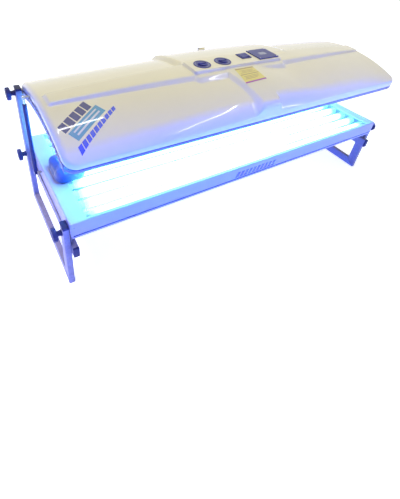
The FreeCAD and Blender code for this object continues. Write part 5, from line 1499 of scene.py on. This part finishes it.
class BED_OT_controls(bpy.types.Operator):
    """Control plate, timer dials and knobs, switch, display and screws"""

    bl_idname = "bed.controls"
    bl_label = "Controls"

    def execute(self, context):
        dress_all(("control_plate", "ivory_plastic", 0.0007, 3),
                  ("timer_movements", "white_moulding", 0.0),
                  ("switch_frame", "navy_moulding", 0.0008, 3),
                  ("switch_rocker", "navy_face", 0.0008, 3),
                  ("display_panel", "navy_moulding", 0.0012, 3),
                  ("display_window", "display_lens", 0.0005),
                  ("display_screws", "white_moulding", 0.0004))
        self.dials()
        for end in ENDS:
            self.timer_knob(end)
        return {"FINISHED"}

    def dials(self):
        """Dial plates with a raised bezel and a printed arc."""
        plates, arcs = [], []
        for low, high in solids_of("timer_dial_plates"):
            middle, radius = (low + high) / 2, float(high[0] - low[0]) / 2
            start, top = (middle[0], middle[1], low[2]), float(high[2] - low[2])
            face = top - 0.9 * MM
            profile = [(radius - 0.5 * MM, 0.0), (radius, 0.5 * MM), (radius, face),
                       (radius - 0.9 * MM, top), (radius - 4 * MM, top), (radius - 4.6 * MM, face),
                       (24 * MM, face), (4 * MM, face)]
            plates.append(turned("dial", profile, start, (0, 0, 1), around=72))
            arcs.append(self.printed_arc(middle, float(high[2]) - 0.85 * MM))
        plate = joined("timer_dials", plates)
        finished(plate, "hood", "navy_moulding", "control_plastic", "timer_dial_plates")
        arc = joined("dial_marks", arcs)
        finished(arc, "hood", "dial_print", "control_plastic")

    def printed_arc(self, middle, level):
        """A thin arc with minute ticks."""
        points, faces = [], []
        inner, outer, tick_end = 31.5 * MM, 33 * MM, 36.5 * MM
        ticks, half_tick = 10, 0.018

        def ring_piece(low_angle, high_angle, near, far, count):
            first = len(points)
            for k in range(count + 1):
                angle = low_angle + (high_angle - low_angle) * k / count
                for reach in (near, far):
                    points.append((middle[0] + reach * math.cos(angle),
                                   middle[1] + reach * math.sin(angle), level))
            for k in range(count):
                a = first + 2 * k
                faces.append((a, a + 1, a + 3, a + 2))

        start, sweep = math.radians(120), math.radians(300)
        ring_piece(start, start + sweep, inner, outer, 60)
        for tick in range(ticks + 1):
            angle = start + sweep * tick / ticks
            ring_piece(angle - half_tick, angle + half_tick, outer, tick_end, 1)
        return object_from("arc", points, faces, smooth=False)

    def timer_knob(self, end):
        """Round skirt with a grip bar across it and a pointer line."""
        node = f"{end}_timer_knob"
        low, high = box_of(node)
        middle = (low + high) / 2
        radius, skirt, grip = float(high[0] - low[0]) / 2, 4 * MM, 3 * MM
        top = float(high[2])
        face = top - skirt - grip
        profile = [(radius - 0.6 * MM, 0.0), (radius, 0.6 * MM),
                   (radius - 0.4 * MM, skirt - 1.2 * MM), (radius - 1.6 * MM, skirt),
                   (radius - 7 * MM, skirt + 0.2 * MM),
                   (radius - 8 * MM, skirt - 0.3 * MM), (3 * MM, skirt - 0.3 * MM)]
        disc = turned("skirt", profile, (middle[0], middle[1], face), (0, 0, 1), around=96,
                      scallops=32, depth=0.5 * MM, cut_from=20 * MM)
        half_x, half_y, half_line = radius - 2.2 * MM, 5.5 * MM, 1.6 * MM
        outline = [(middle[0] + half_x * a, middle[1] + half_y * b)
                   for a, b in ((-1, -0.7), (-0.4, -1), (0.4, -1), (1, -0.7), (1, 0.7), (0.4, 1),
                                (-0.4, 1), (-1, 0.7))]
        bar = prism("bar", outline, face + skirt - 1 * MM, top, axis="z", soften=0.9 * MM)
        knob = joined(f"{node}_grip", [disc, bar])
        spindle = turned(f"{node}_spindle", [(2.9 * MM, float(low[2])), (2.9 * MM, face)],
                         (middle[0], middle[1], 0), (0, 0, 1), around=20)
        line_low, line_high = middle[0] + half_x - 9 * MM, middle[0] + half_x - 1.5 * MM
        outline = rectangle(line_low, line_high, middle[1] - half_line, middle[1] + half_line)
        line = prism(f"{node}_line", outline, top - 0.3 * MM, top, axis="z")
        finished(knob, node, "navy_face", "control_plastic", node)
        finished(spindle, node, "zinc_plating", "zinc_steel")
        finished(line, node, "pointer_print", "control_plastic")


# ---------------------------------------------------------------- pillow

class BED_OT_pillow(bpy.types.Operator):
    """Stuffed vinyl head pillow"""

    bl_idname = "bed.pillow"
    bl_label = "Head pillow"

    def execute(self, context):
        low, high = box_of("head_pillow")
        pillow = self.cover(low, high)
        self.stuff(pillow)
        finished(pillow, "head_pillow", "navy_vinyl", "pillow_vinyl", "head_pillow")
        return {"FINISHED"}

    def cover(self, low, high):
        """The cover before it is stuffed: a saddle across the bed, rounded all round."""
        inset, corner, roll, low_roll, dip = 4 * MM, 40 * MM, 15 * MM, 11 * MM, 9 * MM
        half_x, half_y = (high[0] - low[0]) / 2 - inset, (high[1] - low[1]) / 2 - inset
        middle_x, foot, crest = (low[0] + high[0]) / 2, float(low[2]), float(high[2]) - roll

        def saddle(x, y):
            """Height of the top panel: low in the middle, level toward both ends."""
            share = np.clip(np.abs(y) / (half_y * 0.72), 0, 1)
            return crest - dip * np.cos(share * math.pi / 2) ** 1.3

        steps = np.array([0, 0.4, 1.2, 2.4, 4.0, 6.0, 8.5, 11.5, 15, 19, 24]) * MM
        xs = sheet_grid(half_x, corner, np.linspace(-half_x, half_x, 27), steps)
        ys = sheet_grid(half_y, corner, np.linspace(-half_y, half_y, 35), steps)
        x, y, out_x, out_y, depth = rounded_plan(xs, ys, half_x, half_y, corner)
        z = rolled_edge(saddle, x, y, out_x, out_y, depth, roll)
        rows, columns = x.shape
        loop = border_loop(rows, columns)
        work = bmesh.new()
        top = [[work.verts.new((middle_x + x[i, j], y[i, j], z[i, j])) for j in range(columns)]
               for i in range(rows)]
        for i in range(rows - 1):
            for j in range(columns - 1):
                work.faces.new((top[i][j], top[i + 1][j], top[i + 1][j + 1], top[i][j + 1]))
        previous = [top[i][j] for i, j in loop]
        for rise, angle in ((0.55, 0), (0.2, 0), (0, 20), (0, 45), (0, 70), (0, 90)):
            turn = math.radians(angle)
            pull = low_roll * (1 - math.cos(turn))
            base = foot + low_roll * (1 - math.sin(turn))
            current = []
            for i, j in loop:
                level = base + (z[i, j] - base) * rise
                current.append(work.verts.new((middle_x + x[i, j] - out_x[i, j] * pull,
                                               y[i, j] - out_y[i, j] * pull, level)))
            for k in range(len(loop)):
                after = (k + 1) % len(loop)
                work.faces.new((previous[k], current[k], current[after], previous[after]))
            previous = current
        work.faces.new(previous[::-1])
        return object_of("pillow_cover", work, smooth_angle=80)

    def stuff(self, pillow):
        """Swell the cover as stuffing does, without letting it leave its place."""
        scene = bpy.context.scene
        remesh = pillow.modifiers.new("Even", "REMESH")
        remesh.mode, remesh.voxel_size = "VOXEL", 5 * MM
        bpy.context.view_layer.objects.active = pillow
        with bpy.context.temp_override(active_object=pillow, object=pillow):
            bpy.ops.object.modifier_apply(modifier="Even")
        rest = np.array([v.co for v in pillow.data.vertices])
        cloth = pillow.modifiers.new("Stuffing", "CLOTH")
        cloth.settings.use_pressure = True
        cloth.settings.uniform_pressure_force = 4.0
        cloth.settings.effector_weights.gravity = 0.0
        cloth.point_cache.frame_start, cloth.point_cache.frame_end = 1, 20
        for step in range(1, 21):
            scene.frame_set(step)
        swollen = pillow.evaluated_get(bpy.context.evaluated_depsgraph_get())
        moved = np.array([v.co for v in swollen.data.vertices]) - rest
        pillow.modifiers.remove(cloth)
        scene.frame_set(1)
        reach = np.linalg.norm(moved, axis=1, keepdims=True)
        moved *= np.minimum(1.0, sizes().pillow_swell / np.maximum(reach, 1e-9))
        settled = rest + moved
        settled[:, 2] = np.maximum(settled[:, 2], rest[:, 2].min())
        pillow.data.vertices.foreach_set("co", settled.ravel())
        pillow.data.update()
        pillow.data.shade_smooth()
        finer = pillow.modifiers.new("Smooth", "SUBSURF")
        finer.levels = finer.render_levels = 1


# ---------------------------------------------------------------- stage

BED_MIDDLE = (0.0, 0.0, 0.5)

# Lamp light thrown back onto the bed: name, place, aim, size, beam in degrees and level.
SPILL_LIGHTS = (
    ("front_spill", (-0.15, -1.0, 0.68), (-0.15, -0.3, 0.54), (2.0, 0.12), 46.0, 6.0),
    ("face_spill", (0.0, -1.0, 0.10), (0.0, -0.33, 0.335), (2.0, 0.12), 40.0, 3.0),
    ("end_spill", (-1.9, -0.8, 0.66), (-0.95, 0.0, 0.15), (0.8, 0.4), 180.0, 13.0),
    ("end_wash", (-1.3, 0.0, 0.9), (-0.985, 0.0, 0.05), (1.1, 0.15), 34.0, 2.0),
)
# The room's own tubes: name, start, end, width and share of their level.
CEILING_TUBES = (
    ("rear_tube", (-1.7, 1.1, 3.2), (0.0, 1.3, 3.2), 0.07, 4.0),
    ("far_tube", (1.50, -3.3, 3.2), (1.70, -0.45, 3.2), 0.07, 4.5),
    ("low_tube", (1.3, -3.9, 1.05), (3.9, -2.4, 1.35), 0.12, 2.6),
)


class BED_OT_stage(bpy.types.Operator):
    """Pale floor, soft light, room and camera"""

    bl_idname = "bed.stage"
    bl_label = "Stage"

    def execute(self, context):
        self.floor()
        self.room()
        above = self.soft_light("overhead", (-0.5, 1.1, 4.6), BED_MIDDLE, (3.4, 3.4),
                                light().overhead)
        above.data.color = colours().key
        above.visible_glossy = False
        for name, place, aim, size, beam, level in SPILL_LIGHTS:
            spill = self.soft_light(name, place, aim, size, math.pi * size[0] * size[1] * level)
            spill.data.color = colours().wash if name == "end_wash" else colours().spill
            spill.data.spread = math.radians(beam)
            spill.visible_glossy = name == "end_spill"
            spill.visible_camera = False
        for name, start, end, width, share in CEILING_TUBES:
            self.strip_light(name, Vector(start), Vector(end), width, share)
        self.camera()
        context.scene.view_settings.view_transform = "Standard"
        return {"FINISHED"}

    def floor(self):
        """Floor that reads white in the picture and keeps the shadow."""
        reach, level, near, far = 16.0, -0.3 * MM, 1.6, 5.0
        corners = [(x, y, level) for x, y in rectangle(-reach, reach, -reach, reach)]
        floor = object_from("studio_floor", corners, [(0, 1, 2, 3)], smooth=False)
        material = bpy.data.materials.new("studio_floor")
        material.use_nodes = True
        tree = material.node_tree
        tree.nodes.clear()
        out = add(tree, "ShaderNodeOutputMaterial", (500, 0))
        matte = add(tree, "ShaderNodeBsdfDiffuse", (0, 100), Color=rgba(colours().floor))
        glow = add(tree, "ShaderNodeEmission", (0, -100))
        rays = add(tree, "ShaderNodeLightPath", (-500, -100))
        place = add(tree, "ShaderNodeTexCoord", (-900, 100))
        away = add(tree, "ShaderNodeVectorMath", (-700, 100), operation="LENGTH")
        whiter = add(tree, "ShaderNodeMapRange", (-500, 100), From_Min=near, From_Max=far,
                     To_Min=light().floor_white, To_Max=1.0)
        strength = add(tree, "ShaderNodeMapRange", (-300, -100), To_Max=light().spill)
        tint = add(tree, "ShaderNodeMix", (-300, -350), data_type="RGBA", A=(1.0, 1.0, 1.0, 1.0),
                   B=rgba(colours().spill))
        both = add(tree, "ShaderNodeAddShader", (250, 0))
        wire(tree, (place, "Object", away, 0), (away, "Value", whiter, "Value"),
                   (whiter, "Result", strength, "To Min"),
                   (rays, "Is Diffuse Ray", strength, "Value"),
                   (rays, "Is Diffuse Ray", tint, "Factor"), (strength, "Result", glow, "Strength"),
                   (tint, "Result", glow, "Color"), (matte, 0, both, 0), (glow, 0, both, 1),
                   (both, 0, out, "Surface"))
        floor.data.materials.append(material)

    def room(self):
        """White room in the picture, even dim light on the bed."""
        world = bpy.data.worlds.new("studio_room")
        bpy.context.scene.world = world
        world.use_nodes = True
        tree = world.node_tree
        tree.nodes.clear()
        out = add(tree, "ShaderNodeOutputWorld", (400, 0))
        air = add(tree, "ShaderNodeBackground", (150, 0))
        rays = add(tree, "ShaderNodeLightPath", (-500, 0))
        seen = add(tree, "ShaderNodeMath", (-300, 60), operation="MAXIMUM")
        through = add(tree, "ShaderNodeMath", (-150, 60), operation="MAXIMUM")
        level = add(tree, "ShaderNodeMapRange", (0, 0), To_Min=light().room, To_Max=1.0)
        tint = add(tree, "ShaderNodeMix", (0, -250), data_type="RGBA", A=rgba(colours().air),
                   B=(1.0, 1.0, 1.0, 1.0))
        wire(tree, (through, 0, tint, "Factor"), (tint, "Result", air, "Color"),
                   (rays, "Is Camera Ray", seen, 0), (rays, "Is Glossy Ray", seen, 1),
                   (seen, 0, through, 0), (rays, "Is Transmission Ray", through, 1),
                   (through, 0, level, "Value"), (level, "Result", air, "Strength"),
                   (air, 0, out, "Surface"))

    def soft_light(self, name, place, aim, size, power):
        """One soft light of a given width and height."""
        lamp = bpy.data.lights.new(name, "AREA")
        lamp.shape, lamp.energy = "RECTANGLE", power
        lamp.size, lamp.size_y = size
        obj = linked(name, lamp)
        obj.location = place
        obj.rotation_mode = "QUATERNION"
        obj.rotation_quaternion = (Vector(aim) - Vector(place)).to_track_quat("-Z", "Y")
        return obj

    def strip_light(self, name, start, end, width, share):
        """A narrow tube light between two points, turned toward the bed."""
        middle, along = (start + end) / 2, (end - start).normalized()
        reach = (end - start).length
        obj = self.soft_light(name, middle, BED_MIDDLE, (reach, width),
                              math.pi * reach * width * light().tube * share)
        toward = (Vector(BED_MIDDLE) - middle).normalized()
        across = along.cross(toward).normalized()
        turn = Matrix((along, across, along.cross(across))).transposed()
        obj.rotation_quaternion = turn.to_quaternion()

    def camera(self):
        """Camera at the pillow end, looking down along the bed."""
        focal_px, long_side = 364.2755, 499.0
        centre_px, frame_px = (180.049, 150.724), (400.0, 499.0)
        place = Vector((-1.19047, -1.29827, 1.42632))
        forward = Vector((0.47265, 0.66327, -0.58024)).normalized()
        right = Vector((0.84819, -0.52104, 0.09532)).normalized()
        up = right.cross(forward).normalized()
        lens = bpy.data.cameras.new("view")
        lens.sensor_width, lens.sensor_fit = 36.0, "AUTO"
        lens.lens = focal_px * lens.sensor_width / long_side
        lens.shift_x = (frame_px[0] / 2 - centre_px[0]) / long_side
        lens.shift_y = (centre_px[1] - frame_px[1] / 2) / long_side
        lens.clip_start, lens.clip_end = 0.05, 60.0
        obj = linked("view", lens)
        turn = Matrix((right, up, -forward)).transposed().to_4x4()
        obj.matrix_world = Matrix.Translation(place) @ turn
        bpy.context.scene.camera = obj


# ---------------------------------------------------------------- panel and registering

STEPS = (BED_OT_hood_shell, BED_OT_hood_films, BED_OT_hood_trim, BED_OT_bench_surround,
         BED_OT_bench_box, BED_OT_lamps, BED_OT_end_frames, BED_OT_knobs, BED_OT_struts,
         BED_OT_controls, BED_OT_pillow, BED_OT_stage)


class BED_PT_pieces(bpy.types.Panel):
    """Pieces of the tanning bed, in the order they are built"""

    bl_idname = "BED_PT_pieces"
    bl_label = "Tanning Bed"
    bl_space_type = "VIEW_3D"
    bl_region_type = "UI"
    bl_category = "Tanning Bed"

    def draw(self, context):
        layout = self.layout
        for step in STEPS:
            layout.operator(step.bl_idname)
        for group in (context.scene.bed_sizes, context.scene.bed_colours, context.scene.bed_light):
            box = layout.box()
            for name in group.__annotations__:
                box.prop(group, name)


GROUPS = (BedSizes, BedColours, BedLight)


def register():
    """Register the groups, the operators and the panel."""
    for item in GROUPS + STEPS + (BED_PT_pieces,):
        bpy.utils.register_class(item)
    bpy.types.Scene.bed_sizes = bpy.props.PointerProperty(type=BedSizes)
    bpy.types.Scene.bed_colours = bpy.props.PointerProperty(type=BedColours)
    bpy.types.Scene.bed_light = bpy.props.PointerProperty(type=BedLight)


def unregister():
    """Take everything back."""
    del bpy.types.Scene.bed_light
    del bpy.types.Scene.bed_colours
    del bpy.types.Scene.bed_sizes
    for item in reversed(GROUPS + STEPS + (BED_PT_pieces,)):
        bpy.utils.unregister_class(item)


def main():
    """Build every piece in order."""
    register()
    for step in STEPS:
        group, name = step.bl_idname.split(".")
        getattr(getattr(bpy.ops, group), name)()


if __name__ == "__main__":
    main()
